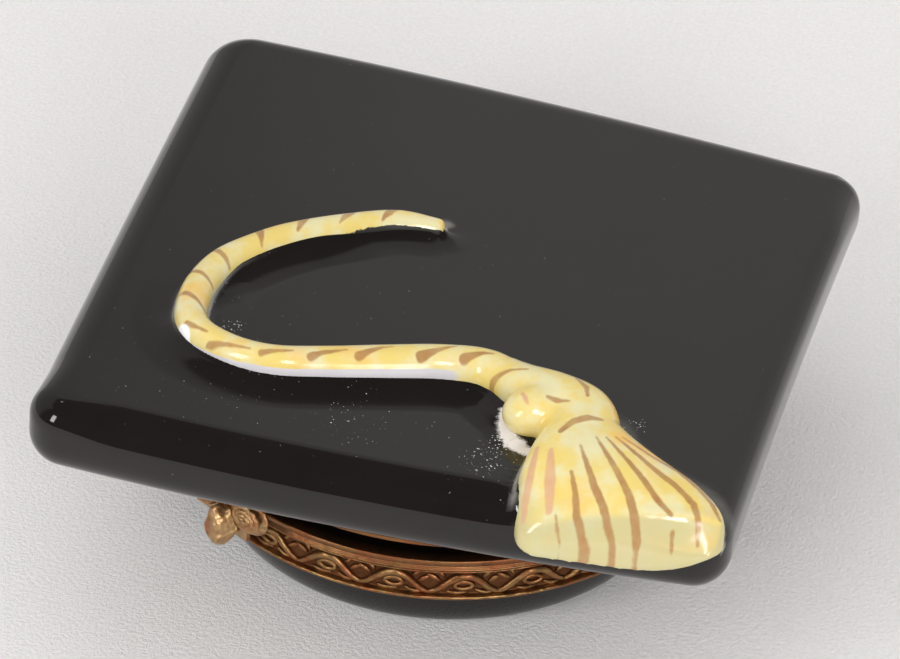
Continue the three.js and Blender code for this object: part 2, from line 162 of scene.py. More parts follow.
def openMeshes(*meshes):
    work = bmesh.new()
    for mesh in meshes:
        work.from_mesh(mesh)
    return work


def writeMesh(work, mesh):
    work.to_mesh(mesh)
    work.free()


def rawMesh(name, points, faces):
    mesh = bpy.data.meshes.new(name)
    mesh.from_pydata((np.asarray(points, float) * mm).tolist(), [], faces)
    return mesh


# Turns a closed mesh's faces outwards, after merging points closer than a number of metres
def facingOut(mesh, merging=None):
    work = openMeshes(mesh)
    if merging:
        bmesh.ops.remove_doubles(work, verts=work.verts, dist=merging)
    bmesh.ops.recalc_face_normals(work, faces=work.faces)
    writeMesh(work, mesh)


def makePiece(name, points, faces):
    mesh = rawMesh(name, points, faces)
    facingOut(mesh, 1e-7)
    mesh.shade_smooth()
    return placed(name, mesh)


def vectorsOf(collection, name):
    values = np.empty(len(collection) * 3)
    collection.foreach_get(name, values)
    return values.reshape(-1, 3)


def placesOf(piece):
    return vectorsOf(piece.data.vertices, "co") / mm


def normalsOf(piece):
    return vectorsOf(piece.data.vertex_normals, "vector")


def writePlaces(piece, places):
    piece.data.vertices.foreach_set("co", (places * mm).ravel())
    piece.data.update()


def writeAttributes(piece, **layers):
    for name, values in layers.items():
        attribute = piece.data.attributes.new(name, "FLOAT", "POINT")
        attribute.data.foreach_set("value", np.asarray(values, np.float32))


# The piece's live modifiers become one plain mesh
def bake(piece):
    bpy.context.view_layer.update()
    evaluated = piece.evaluated_get(bpy.context.evaluated_depsgraph_get())
    mesh = bpy.data.meshes.new_from_object(evaluated)
    piece.modifiers.clear()
    old = piece.data
    piece.data = mesh
    bpy.data.meshes.remove(old)


# Gives a piece its finish and body and hides the solids it stands for; a lid piece that was modelled shut
# swings ajar
def settle(piece, body, slot, finish, *nodes, modelledShut=True):
    piece.data.materials.clear()
    piece.data.materials.append(finish)
    if body == "lid" and modelledShut:
        piece.data.transform(ajar)
    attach(piece, body)
    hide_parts(*nodes)
    print("made", piece.name, len(piece.data.polygons), "faces")


# A profile of (radius, height, rounding) rows with its corners rounded
def rounded(corners, steps=6, closed=True):
    corners = np.asarray(corners, float)
    count = len(corners)
    points = []
    for k in range(count):
        corner = corners[k, :2]
        rounding = corners[k, 2]
        if not closed and k in (0, count - 1) or rounding == 0:
            points.append(corner)
            continue
        ends = []
        for neighbour in (corners[k - 1, :2], corners[(k + 1) % count, :2]):
            way = neighbour - corner
            length = np.linalg.norm(way)
            ends.append(corner + way / length * min(rounding, length / 2))
        for u in np.linspace(0, 1, steps):
            points.append((1 - u) ** 2 * ends[0] + 2 * u * (1 - u) * corner + u * u * ends[1])
    return np.array(points)


# Cuts long runs of a profile into short ones
def spaced(profile, longest, closed=True):
    points = []
    count = len(profile)
    for k in range(count if closed else count - 1):
        a = profile[k]
        b = profile[(k + 1) % count]
        cuts = max(1, int(math.ceil(np.linalg.norm(b - a) / longest)))
        points += [a + (b - a) * u / cuts for u in range(cuts)]
    if not closed:
        points.append(profile[-1])
    return np.array(points)


def turnedRings(profile, steps):
    angles = np.linspace(0, 2 * np.pi, steps, endpoint=False)
    radius = profile[:, 0][:, None]
    height = np.repeat(profile[:, 1][:, None], steps, axis=1)
    return np.stack([radius * np.cos(angles), radius * np.sin(angles), height], axis=2)


# A smooth path through the rows of a table, spaced by the square root of each step
def through(table, samples):
    table = np.asarray(table, float)
    count = len(table)
    least = 1e-4
    ends = np.vstack([2 * table[0] - table[1], table, 2 * table[-1] - table[-2]])
    points = []
    for t in np.linspace(0, count - 1, samples):
        row = min(int(t), count - 2)
        u = t - row
        p0, p1, p2, p3 = ends[row : row + 4]
        d0, d1, d2 = (math.sqrt(np.linalg.norm(step)) for step in (p1 - p0, p2 - p1, p3 - p2))
        d1 = d1 if d1 > least else 1
        d0 = d0 if d0 > least else d1
        d2 = d2 if d2 > least else d1
        t1 = ((p1 - p0) / d0 - (p2 - p0) / (d0 + d1) + (p2 - p1) / d1) * d1
        t2 = ((p2 - p1) / d1 - (p3 - p1) / (d1 + d2) + (p3 - p2) / d2) * d1
        points.append(
            p1 + t1 * u + (3 * (p2 - p1) - 2 * t1 - t2) * u**2 + (2 * (p1 - p2) + t1 + t2) * u**3
        )
    return np.array(points)


def smoothStep(low, high, values):
    share = np.clip((values - low) / (high - low), 0, 1)
    return share * share * (3 - 2 * share)


# What a gap reads far from the raised work, and a painted edge's distance where nothing is painted
farOff = 1e3
noPaint = 9.0


# Distance in the plan from an upright line; squeeze shortens the way along x
def fromLine(places, x=0, y=0, squeeze=1):
    return np.hypot((places[:, 0] - x) * squeeze, places[:, 1] - y)


# Node helpers


def linear(red, green, blue):
    channels = [value / 255 for value in (red, green, blue)]
    return (*(c / 12.92 if c <= 0.04045 else ((c + 0.055) / 1.055) ** 2.4 for c in channels), 1)


class Wire:
    def __init__(self, tree, socket):
        self.tree = tree
        self.socket = socket

    def feed(self, target):
        self.tree.links.new(self.socket, target)

    def maths(self, operation, first, second):
        node = self.tree.nodes.new("ShaderNodeMath")
        node.operation = operation
        for place, item in enumerate((first, second)):
            if isinstance(item, Wire):
                item.feed(node.inputs[place])
            else:
                node.inputs[place].default_value = item
        return Wire(self.tree, node.outputs[0])

    def __add__(self, other):
        return self.maths("ADD", self, other)

    def __radd__(self, other):
        return self.maths("ADD", other, self)

    def __sub__(self, other):
        return self.maths("SUBTRACT", self, other)

    def __rsub__(self, other):
        return self.maths("SUBTRACT", other, self)

    def __mul__(self, other):
        return self.maths("MULTIPLY", self, other)

    def __rmul__(self, other):
        return self.maths("MULTIPLY", other, self)


class NodeTree:
    def __init__(self, tree):
        self.tree = tree
        self.tree.nodes.clear()

    # Settings come first, and then the sockets' values or wires. Three numbers from 0 to 255 are an sRGB tone
    def node(self, kind, settings=None, sockets=None, output=0):
        node = self.tree.nodes.new(kind)
        for key, value in (settings or {}).items():
            setattr(node, key, value)
        byName = {socket.identifier: socket for socket in node.inputs}
        byName.update({socket.name: socket for socket in reversed(node.inputs) if socket.enabled})
        for key, value in (sockets or {}).items():
            socket = node.inputs[key] if isinstance(key, int) else byName[key]
            if isinstance(value, Wire):
                value.feed(socket)
            elif socket.type == "RGBA" and len(value) == 3:
                socket.default_value = linear(*value)
            else:
                socket.default_value = value
        if not node.outputs:
            return None
        if isinstance(output, str):
            found = [socket for socket in node.outputs if socket.name == output and socket.enabled]
            return Wire(self.tree, found[0])
        return Wire(self.tree, node.outputs[output])

    def maths(self, operation, *values):
        return self.node("ShaderNodeMath", {"operation": operation}, dict(enumerate(values)))


class Surface(NodeTree):
    def __init__(self, owner):
        owner.use_nodes = True
        self.owner = owner
        super().__init__(owner.node_tree)

    def place(self):
        return self.node("ShaderNodeTexCoord", output="Object")

    def attribute(self, name):
        return self.node("ShaderNodeAttribute", {"attribute_name": name}, output="Fac")

    def noise(self, scale, detail, roughness):
        values = {"Vector": self.place(), "Scale": scale, "Detail": detail, "Roughness": roughness}
        return self.node("ShaderNodeTexNoise", {"noise_dimensions": "3D"}, values, "Fac")

    def mix(self, share, first, second):
        values = {"Factor": share, "A": first, "B": second}
        return self.node("ShaderNodeMix", {"data_type": "RGBA"}, values, "Result")

    def step(self, value, low, high):
        values = {"Value": value, "From Min": low, "From Max": high}
        return self.node("ShaderNodeMapRange", {"interpolation_type": "SMOOTHSTEP"}, values, "Result")

    def bump(self, height, distance, strength, under=None):
        values = {"Height": height, "Distance": distance, "Strength": strength}
        if under:
            values["Normal"] = under
        return self.node("ShaderNodeBump", {}, values, "Normal")

    def finish(self, **sockets):
        values = {key.replace("_", " "): value for key, value in sockets.items()}
        shader = self.node("ShaderNodeBsdfPrincipled", {}, values, "BSDF")
        self.node("ShaderNodeOutputMaterial", {}, {"Surface": shader})
        return self.owner


# Finishes. A pair of tones is what a noise wanders between. A noise is given by its scale, detail and
# roughness, and a bump by its height in metres and its strength.

blackGlazeTones = {
    "body": ((13, 10, 9), (25, 20, 18)),
    "inside": ((226, 222, 212), (240, 238, 231)),
    "bisque": ((196, 186, 168), (222, 214, 200)),
    # rim: the tone of a painted halo of light on the board round the raised work
    "rim": (178, 174, 168),
    "pool": (236, 230, 228),
    "stray": (205, 203, 200),
}

yellowGlazeTones = {
    "body": ((222, 214, 168), (226, 202, 118)),
    "warm": (236, 184, 88),
    # hem: a darker tone painted on the hem's steep front as shade
    "hem": (186, 180, 138),
    "flank": (206, 202, 206),
    "brown": (166, 122, 76),
    "pink": (208, 160, 128),
    # paleEdge: the tone of a painted sheen of light along the tassel's far outline
    "paleEdge": (190, 186, 182),
    # bead: the tone of a painted highlight on the cord's bend, where a lamp would glint
    "bead": (252, 252, 252),
    "ragged": (22, 22, 14),
}

# Each brass has a bright, a dull and a ruddy tone, and the height of its dents
brassValues = {
    "bandBrass": ((170, 134, 88), (126, 92, 58), (150, 92, 60), 0.0004),
    "mountBrass": ((166, 120, 80), (126, 86, 54), (150, 92, 60), 0.00014),
    "claspBrass": ((222, 186, 138), (136, 98, 62), (164, 102, 66), 0.0009),
}
brassTones = {
    "tarnish": (92, 70, 40),
    "ground": (108, 70, 44),
    "seam": (60, 50, 40),
}


def blackGlaze(tones):
    glaze = Surface(bpy.data.materials.new("blackGlaze"))
    cloud = glaze.noise(120, 4, 0.6)
    fine = glaze.noise(900, 3, 0.6)
    bare = glaze.attribute("bareFoot")
    colour = glaze.mix(cloud, *tones["body"])
    colour = glaze.mix(glaze.attribute("whiteInside"), colour, glaze.mix(fine, *tones["inside"]))
    colour = glaze.mix(bare, colour, glaze.mix(glaze.noise(2600, 4, 0.7), *tones["bisque"]))
    # a painted halo of light on the board round the raised work
    rim = glaze.attribute("reliefRim") * (0.45 + 0.55 * fine)
    colour = glaze.mix(rim, colour, tones["rim"])
    poolEdge = glaze.attribute("whitePool") + 0.9 * (glaze.noise(2600, 3, 0.6) - 0.5)
    colour = glaze.mix(glaze.step(poolEdge, 0.12, -0.3) * 0.95, colour, tones["pool"])
    thickness = glaze.noise(4600, 2, 0.5) + 0.19 * glaze.attribute("strayGlaze")
    strays = glaze.step(thickness, 0.78, 0.83)
    colour = glaze.mix(strays, colour, tones["stray"])
    rough = 0.05 + 0.05 * cloud + 0.5 * bare + 0.25 * strays
    ripple = glaze.bump(glaze.noise(260, 2, 0.5), 0.00001, 0.35)
    grain = glaze.bump(fine, 0.000004, 0.4, ripple)
    return glaze.finish(Base_Color=colour, Roughness=rough, Normal=grain)


def yellowGlaze(tones):
    glaze = Surface(bpy.data.materials.new("yellowGlaze"))
    wander = glaze.noise(1500, 2, 0.5) - 0.5
    cloud = glaze.noise(330, 3, 0.6)
    wash = 0.5 + 0.8 * glaze.noise(620, 3, 0.6)
    colour = glaze.mix(glaze.step(cloud, 0.34, 0.62), *tones["body"])
    warm = glaze.step(glaze.noise(210, 2, 0.5), 0.52, 0.68) * glaze.attribute("warmth")
    colour = glaze.mix(warm, colour, tones["warm"])
    # painted shade: the hem's steep front darkened as if less lit
    colour = glaze.mix(glaze.attribute("hemFace") * 0.8, colour, tones["hem"])
    flank = glaze.step(glaze.attribute("bareFlank") + 0.35 * wander, 0.35, 0.65)
    colour = glaze.mix(flank, colour, tones["flank"])
    for paint, strength in (("brown", 0.92), ("pink", 0.85)):
        edge = glaze.attribute(paint + "Stroke") + 0.16 * wander
        stroke = glaze.step(edge, 0.1, -0.1) * wash * strength
        colour = glaze.mix(stroke, colour, tones[paint])
    # a painted sheen of light on faces turned away from the front
    colour = glaze.mix(glaze.attribute("paleEdge") * 0.6, colour, tones["paleEdge"])
    # a painted highlight: white laid on the cord's bend where a lamp would glint
    colour = glaze.mix(glaze.attribute("whiteBead"), colour, tones["bead"])
    raggedEdge = glaze.attribute("raggedEdge") + 0.8 * (glaze.noise(1700, 4, 0.65) - 0.5)
    ragged = glaze.step(raggedEdge, 0.4, 0.48)
    colour = glaze.mix(ragged, colour, tones["ragged"])
    rough = 0.1 + 0.06 * cloud + 0.4 * ragged
    ripple = glaze.bump(glaze.noise(700, 2, 0.5), 0.00002, 0.35)
    return glaze.finish(Base_Color=colour, Roughness=rough, Normal=ripple)


# Worked brass, with a darker ground where a relief attribute says how far the metal is raised
def giltBrass(name, relief=None):
    bright, dull, ruddy, dentHeight = brassValues[name]
    metal = Surface(bpy.data.materials.new(name))
    grain = metal.noise(1400, 4, 0.65)
    cloud = metal.noise(330, 3, 0.6)
    tone = metal.mix(grain, dull, bright)
    tone = metal.mix(metal.step(cloud, 0.44, 0.6) * 0.8, tone, ruddy)
    tarnish = metal.step(metal.noise(760, 3, 0.6), 0.56, 0.68)
    tone = metal.mix(tarnish * 0.55, tone, brassTones["tarnish"])
    rough = 0.34 + 0.16 * cloud
    if relief:
        raisedShare = metal.step(metal.attribute(relief) + 0.5 * (grain - 0.5), 0.05, 0.5)
        tone = metal.mix(raisedShare, brassTones["ground"], tone)
        rough = 0.56 - 0.2 * raisedShare + 0.1 * (cloud - 0.5)
    tone = metal.mix(metal.attribute("seamShade"), tone, brassTones["seam"])
    dents = metal.bump(metal.noise(620, 2, 0.5), dentHeight, 0.8)
    pits = metal.bump(grain, 0.00006, 0.6, dents)
    return metal.finish(Base_Color=tone, Roughness=rough, Metallic=1.0, Normal=pits)


black = blackGlaze(blackGlazeTones)
yellow = yellowGlaze(yellowGlazeTones)
bandBrass = giltBrass("bandBrass", "relief")
mountBrass = giltBrass("mountBrass")
claspBrass = giltBrass("claspBrass")
print("finishes made")


# Cup

cupValues = {
    "footRadius": 18.2,
    "wallRadius": 20.45,
    "shoulder": 4.85,
    "rim": 8.4,
    "floor": 2.4,
    "cavityCorner": 4,
    "footRing": 2.6,
    "footRise": 0.5,
    "steps": 192,
    "whiteWithin": (19.3, 18.9),
    "whiteAbove": (1.4, 1.6),
    "bareBelow": (0.12, 0.03),
    "bareWithin": (18.6, 18.3),
    "bareBeyond": (15.4, 15.6),
    "recessBelow": (0.6, 0.4),
    "recessWithin": 15.5,
}


def cup(values):
    footRadius, rise, floor = values["footRadius"], values["footRise"], values["floor"]
    inner = footRadius - values["footRing"]
    swell = values["wallRadius"] - footRadius
    wall = [
        (footRadius + swell * np.cos(a), values["shoulder"] * (1 + np.sin(a)), 0)
        for a in np.linspace(-np.pi / 2, 0, 26)
    ]
    corner = values["cavityCorner"]
    cavity = shared["cavityRadius"] - corner
    hollow = [
        (cavity + corner * np.cos(a), floor + corner + corner * np.sin(a), 0)
        for a in np.linspace(0, -np.pi / 2, 14)
    ]
    profile = rounded(
        [
            (4, rise, 0),
            (inner - 0.6, rise, 0.4),
            (inner, 0, 0.25),
            *wall,
            (values["wallRadius"], values["rim"], 0.35),
            (shared["cavityRadius"], values["rim"], 0.35),
            *hollow,
            (5, floor, 0),
        ],
        closed=False,
    )
    rings = turnedRings(spaced(profile, 0.9, closed=False), values["steps"])
    piece = makePiece("cup", *skin(rings, (0, 0, rise), (0, 0, floor)))
    places = placesOf(piece)
    radius = fromLine(places)
    height = places[:, 2]
    foot = smoothStep(*values["bareBelow"], height) * smoothStep(*values["bareWithin"], radius)
    foot *= smoothStep(*values["bareBeyond"], radius)
    recess = smoothStep(*values["recessBelow"], height) * (radius < values["recessWithin"])
    writeAttributes(
        piece,
        whiteInside=smoothStep(*values["whiteWithin"], radius) * smoothStep(*values["whiteAbove"], height),
        bareFoot=np.maximum(foot, recess),
        whitePool=np.full(len(places), noPaint),
    )
    settle(piece, "base", "black_glaze", black, "base_bowl")


cup(cupValues)


# Raised work: where the tassel lies, as shares of half the board's side and of its own widths

tasselValues = {
    "cordWidth": 3.1,
    "knotRadius": 3.3,
    "lobeSizes": (3.5, 2.45, 2.25),
    "lobeTurn": 0.5,
    "lobePlace": (0.403, -0.648),
    "lobeLift": 0.6,
    "skirtCrown": 3.6,
    "skirtDrop": 3.3,
    "cordSteps": (150, 40),
    "knotSteps": (48, 56),
    "skirtSteps": (64, 60),
    "cutBluntness": 0.5,
    "undersidePower": 3,
    "archPower": 0.5,
    "fluteCount": 10,
    "fluteDepth": 0.025,
    "fluteRun": ((0.05, 0.3), (0.9, 0.7)),
    "ridgeHeight": 0.3,
    "ridgeAt": 0.714,
    "ridgeWidth": 0.06,
    "sunk": 0.4,
    "voxel": 0.14,
    "hemMelt": (-28.2, -29.2),
    "meltedAt": [(8.6, -16.7, 3.0), (12.4, -17.2, 3.4), (12.2, -21.4, 2.2)],
    "hemHang": (0, 0.25, 0.85),
    "hangFrom": ((18, 26.5), (-26.5, -28.8), (1.1, -0.1)),
}

# Rows along the cord and the knot: x and y, half width, half height, and how high the centre lies
cordTable = [
    [-0.1, 0.19, 0.3, 0.3, 0.04],
    [-0.22, 0.175, 0.4, 0.4, 0.05],
    [-0.35, 0.105, 0.43, 0.43, 0.06],
    [-0.49, 0.005, 0.44, 0.44, 0.08],
    [-0.58, -0.09, 0.44, 0.44, 0.1],
    [-0.65, -0.197, 0.44, 0.44, 0.13],
    [-0.68, -0.316, 0.44, 0.44, 0.16],
    [-0.68, -0.418, 0.44, 0.45, 0.19],
    [-0.66, -0.51, 0.44, 0.46, 0.22],
    [-0.607, -0.582, 0.45, 0.47, 0.25],
    [-0.495, -0.635, 0.46, 0.48, 0.27],
    [-0.386, -0.646, 0.47, 0.5, 0.29],
    [-0.239, -0.607, 0.49, 0.51, 0.3],
    [-0.08, -0.554, 0.52, 0.53, 0.32],
    [0.08, -0.505, 0.54, 0.55, 0.34],
    [0.196, -0.495, 0.56, 0.56, 0.37],
    [0.3, -0.54, 0.56, 0.56, 0.4],
]

knotTable = [
    [0.27, -0.525, 0.55, 0.55, 0.38],
    [0.345, -0.57, 0.68, 0.66, 0.44],
    [0.43, -0.6, 0.76, 0.74, 0.46],
    [0.505, -0.645, 0.88, 0.8, 0.42],
    [0.528, -0.72, 1, 0.86, 0.26],
]

# Rows down the skirt: the left edge's x and y, underside and crown, and then the right edge's
skirtTable = [
    [0.415, -0.73, -0.3, 0.95, 0.605, -0.635, -0.3, 0.95],
    [0.4, -0.807, -0.3, 0.95, 0.687, -0.715, -0.3, 0.97],
    [0.393, -0.895, -0.3, 0.82, 0.787, -0.782, -0.3, 0.95],
    [0.397, -0.975, -0.6, 0.6, 0.896, -0.84, -0.3, 0.88],
    [0.415, -1.04, -1, 0.25, 0.97, -0.913, -0.2, 0.75],
    [0.441, -1.08, -1.05, -0.2, 0.994, -0.968, -0.15, 0.55],
    [0.478, -1.092, -1.12, -0.5, 0.995, -1.012, -0.1, 0.3],
    [0.54, -1.086, -1.16, -0.8, 0.972, -1.042, -0.08, 0.1],
]


# Centres in space, unit vectors along and half widths and heights of a raised bar
def barPath(table, width, samples):
    table = np.asarray(table)
    lift = boardTop + table[:, 4] * width
    centres = through(np.column_stack([table[:, :2] * halfSide, lift]), samples)
    sizes = through(table[:, 2:4] * width, samples)
    along = np.gradient(centres[:, :2], axis=0)
    along /= np.linalg.norm(along, axis=1, keepdims=True)
    return centres, along, sizes


def barSkin(table, width, samples, sides, bluntness=1.0):
    centres, along, sizes = barPath(table, width, samples)
    angles = np.linspace(0, 2 * np.pi, sides, endpoint=False)
    endRings = 7
    rings = []

    def ring(row, swell, reach):
        half, high = sizes[row]
        middle = centres[row].copy()
        middle[:2] += along[row] * reach * half
        side = np.array([-along[row][1], along[row][0]])
        points = np.repeat(middle[None, :], sides, axis=0)
        points[:, :2] += np.cos(angles)[:, None] * swell * half * side
        points[:, 2] += np.sin(angles) * swell * high
        rings.append(points)

    ends = np.pi / 2 * np.arange(1, endRings + 1) / (endRings + 1)
    for angle in ends:
        ring(0, math.sin(angle), -math.cos(angle) * bluntness)
    for row in range(samples):
        ring(row, 1, 0)
    for angle in ends[::-1]:
        ring(samples - 1, math.sin(angle), math.cos(angle))
    return skin(rings, rings[0].mean(axis=0), rings[-1].mean(axis=0))


# The small lobe beside the knot, a stretched ball turned in the plan
def lobeSkin(values):
    angles = np.linspace(-np.pi / 2, np.pi / 2, 26)[1:-1]
    length, radius, height = values["lobeSizes"]
    middle = np.array([*np.array(values["lobePlace"]) * halfSide, boardTop + values["lobeLift"] * radius])
    turn = values["lobeTurn"]
    axes = np.array([[math.cos(turn), math.sin(turn), 0], [-math.sin(turn), math.cos(turn), 0], [0, 0, 1]])
    axes *= np.array([[length], [radius], [height]])
    rings = turnedRings(np.column_stack([np.cos(angles), np.sin(angles)]), 40) @ axes + middle
    return skin(rings, middle - (0, 0, height), middle + (0, 0, height))


def skirtRings(values, rows, sides):
    table = np.asarray(skirtTable)
    flat = np.zeros((len(table), 1))
    curves = []
    for end in (0, 4):
        curves.append(through(np.hstack([table[:, end : end + 2] * halfSide, flat]), rows))
        heights = table[:, end + 2 : end + 4] * (values["skirtDrop"], values["skirtCrown"])
        curves.append(through(np.hstack([heights, flat]), rows))
    left, leftHeights, right, rightHeights = curves
    angles = np.pi * np.arange(2 * sides) / sides
    across = (1 + np.cos(angles)) / 2
    upper = np.clip(np.sin(angles), 0, 1)
    flutes = values["fluteDepth"] * (np.cos(2 * np.pi * values["fluteCount"] * across) * upper**0.3)
    starting, ending = values["fluteRun"]
    rings = []
    for row in range(rows):
        t = row / (rows - 1)
        ring = left[row][None, :] * (1 - across[:, None]) + right[row][None, :] * across[:, None]
        underRise, crownRise = rightHeights[row][:2] - leftHeights[row][:2]
        under = leftHeights[row][0] + underRise * across ** values["undersidePower"]
        crown = leftHeights[row][1] + crownRise * across
        ring[:, 2] = boardTop + under + (crown - under) * upper ** values["archPower"]
        ring[:, 2] += flutes * smoothStep(*starting, t) * smoothStep(*ending, t)
        ridge = math.exp(-(((t - values["ridgeAt"]) / values["ridgeWidth"]) ** 2))
        ring[:, 2] += values["ridgeHeight"] * ridge * upper**0.4
        rings.append(ring)
    return rings


# The skirt with both ends closed by faces straight across
def skirtSkin(values):
    rows, sides = values["skirtSteps"]
    around = 2 * sides
    points, faces = skin(skirtRings(values, rows, sides))
    for start in (0, (rows - 1) * around):
        for k in range(sides):
            face = (k, k + 1, around - k - 1, (around - k) % around)
            faces.append(tuple(start + corner for corner in dict.fromkeys(face)))
    return points, faces


def toSegments(points, path):
    starts = path[:-1, :2]
    steps = path[1:, :2] - starts
    offset = points[:, None, :] - starts[None]
    share = np.clip((offset * steps).sum(2) / np.maximum((steps**2).sum(1), 1e-12), 0, 1)
    distance = np.linalg.norm(offset - share[..., None] * steps, axis=2)
    return distance, share


def insideLoop(points, loop):
    inside = np.zeros(len(points), bool)
    for a, b in zip(loop, np.roll(loop, -1, axis=0)):
        spans = (a[1] > points[:, 1]) != (b[1] > points[:, 1])
        rise = b[1] - a[1] if b[1] != a[1] else 1e-9
        inside ^= spans & (points[:, 0] < (b[0] - a[0]) * (points[:, 1] - a[1]) / rise + a[0])
    return inside


# For each point in the plan the nearest centre, by distance less its reach, and that distance
def nearestCentre(points, centres, reach=0):
    batch = 4000
    nearest = np.empty(len(points), int)
    distance = np.empty(len(points))
    for start in range(0, len(points), batch):
        part = slice(start, start + batch)
        away = np.linalg.norm(points[part, None] - centres[None, :, :2], axis=2) - reach
        nearest[part] = away.argmin(axis=1)
        distance[part] = away.min(axis=1)
    return nearest, distance


# How far points of the board's plan lie outside the raised work, negative under it
def reliefGap(points, values):
    samples = 300
    endSamples, endShare, lobeShare = 6, 0.55, 0.8
    gap = np.full(len(points), farOff)
    for table, width in ((cordTable, values["cordWidth"]), (knotTable, values["knotRadius"])):
        centres, _, sizes = barPath(table, width, samples)
        reach = sizes[:, 0] * np.where(np.arange(samples) < endSamples, endShare, 1.0)
        gap = np.minimum(gap, nearestCentre(points, centres, reach)[1])
    lobe = np.array(values["lobePlace"]) * halfSide
    gap = np.minimum(gap, fromLine(points, *lobe) - values["lobeSizes"][1] * lobeShare)
    table = np.asarray(skirtTable)
    left, right = (through(table[:, end : end + 2] * halfSide, 24) for end in (0, 4))
    loop = np.vstack([left, right[::-1]])
    edge = toSegments(points, np.vstack([loop, loop[:1]]))[0].min(axis=1)
    edge[insideLoop(points, loop)] *= -1
    return np.minimum(gap, edge)


# Distance from every point to the nearest painted edge, negative on the paint
def strokeGap(points, strokes, fullness=1.0):
    margin = 1.5
    gap = np.full(len(points), noPaint)
    for stroke in strokes:
        path = np.array(stroke)
        low = path[:, :2].min(axis=0) - margin
        high = path[:, :2].max(axis=0) + margin
        near = np.flatnonzero(((points > low) & (points < high)).all(axis=1))
        distance, share = toSegments(points[near], path)
        width = fullness * (path[:-1, 2] + share * (path[1:, 2] - path[:-1, 2]))
        gap[near] = np.minimum(gap[near], (distance - width).min(axis=1))
    return gap


# Board

boardValues = {
    "edgeRadius": 3,
    "cornerTighter": 1.3,
    "cornerReach": (9, 1.5),
    "rightTighter": 1.15,
    "rightFacing": (0.7, 0.95),
    "rightBefore": (26, 16),
    "cornerRounds": (0.2, 0.2, 0.2, 1.5),
    "bows": (1.12, -0.27, 0.64, 0.08),
    "corners": ((-1.012, -1.03), (1.01, -1.009), (1.037, 0.939), (-1.008, 1.076)),
    "crust": 3.5,
    "hollowCorner": 1.5,
    "collarRadius": 20.85,
    "collarBottom": 10.1,
    "sideSteps": 104,
    "cornerSteps": 16,
    "topRings": 76,
    "filletHeight": 0.22,
    "filletReach": 0.55,
    "nearSlopes": [(0, 0.42), (0.5, 0.36), (1, 0.25), (1.6, 0.14), (2.2, 0.09), (2.9, 0.085), (3.2, 0)],
    "refineGap": (-0.7, 1.3),
    "upperFrom": 2.2,
    "nearFacing": (-0.2, 0.7),
    "standsFrom": (-0.9, -0.3),
    "cordEnd": (-2.85, 5.4),
    "lowerAtEnd": (0.6, 11, 5),
}

# White marks on the black glaze: a pool left of the skirt, a painted halo of light along the raised work with
# more of it beside the skirt and at the cord's free end, and stray specks of (x, y, reach, amount)
boardMarks = {
    "pool": [
        [(8.0, -18.2, 0.3), (8.3, -19.2, 0.55), (8.9, -20.6, 0.7), (9.7, -21.6, 0.8)],
        [(9.7, -21.6, 0.8), (10.9, -22.2, 0.7), (11.9, -22.5, 0.3)],
    ],
    "rimGap": ((-0.2, 0.02), (0.22, 0.06)),
    "skirtSide": ((15, 18), (-14, -18), (-28, -23)),
    "skirtRim": (0.32, 1.9, 0.7),
    "cordEnd": (-2.7, 6.5, 0.7),
    "endRim": (0.6, 0.8, 0.2),
    "strays": [
        (8.8, -21.6, 2.6, 1.0),
        (8.2, -24.4, 4.4, 0.75),
        (-15.6, -13.2, 2.2, 0.85),
        (-13.0, -15.4, 2.6, 0.7),
        (18.4, -16.0, 2.2, 0.8),
        (-3.0, -23.0, 7.0, 0.46),
        (-16.0, -20.0, 22.0, 0.2),
        (-4.0, -6.0, 26.0, 0.12),
        (10.0, -24.0, 14.0, 0.28),
    ],
}


def quadratic(a, b, c, steps):
    u = np.linspace(0, 1, steps, endpoint=False)[:, None]
    points = (1 - u) ** 2 * a + 2 * u * (1 - u) * b + u * u * c
    slope = 2 * (1 - u) * (b - a) + 2 * u * (c - b)
    outwards = np.stack([slope[:, 1], -slope[:, 0]], axis=1)
    return points, outwards / np.linalg.norm(outwards, axis=1, keepdims=True)


# Where two lines in the plan cross
def meeting(a, alongA, b, alongB):
    share = np.linalg.solve(np.column_stack([alongA, -alongB]), b - a)[0]
    return a + alongA * share


# The outline of the flat top, with its outward directions
def boardCore(values):
    shares = np.array(values["corners"])
    corners = shares * halfSide - np.sign(shares) * values["edgeRadius"]
    rounds = values["cornerRounds"]
    runs = []
    for k in range(4):
        after = (k + 1) % 4
        along = corners[after] - corners[k]
        along /= np.linalg.norm(along)
        outwards = np.array([along[1], -along[0]])
        start = corners[k] + along * rounds[k]
        end = corners[after] - along * rounds[after]
        bow = (corners[k] + corners[after]) / 2 + outwards * 2 * values["bows"][k]
        runs.append((start, bow, end))
    parts = []
    for k, (start, bow, end) in enumerate(runs):
        nextStart, nextBow = runs[(k + 1) % 4][:2]
        corner = meeting(end, end - bow, nextStart, nextStart - nextBow)
        parts.append(quadratic(start, bow, end, values["sideSteps"]))
        parts.append(quadratic(end, corner, nextStart, values["cornerSteps"]))
    return [np.vstack(part) for part in zip(*parts)]


def level(plan, height):
    return np.column_stack([plan, np.full(len(plan), height)])


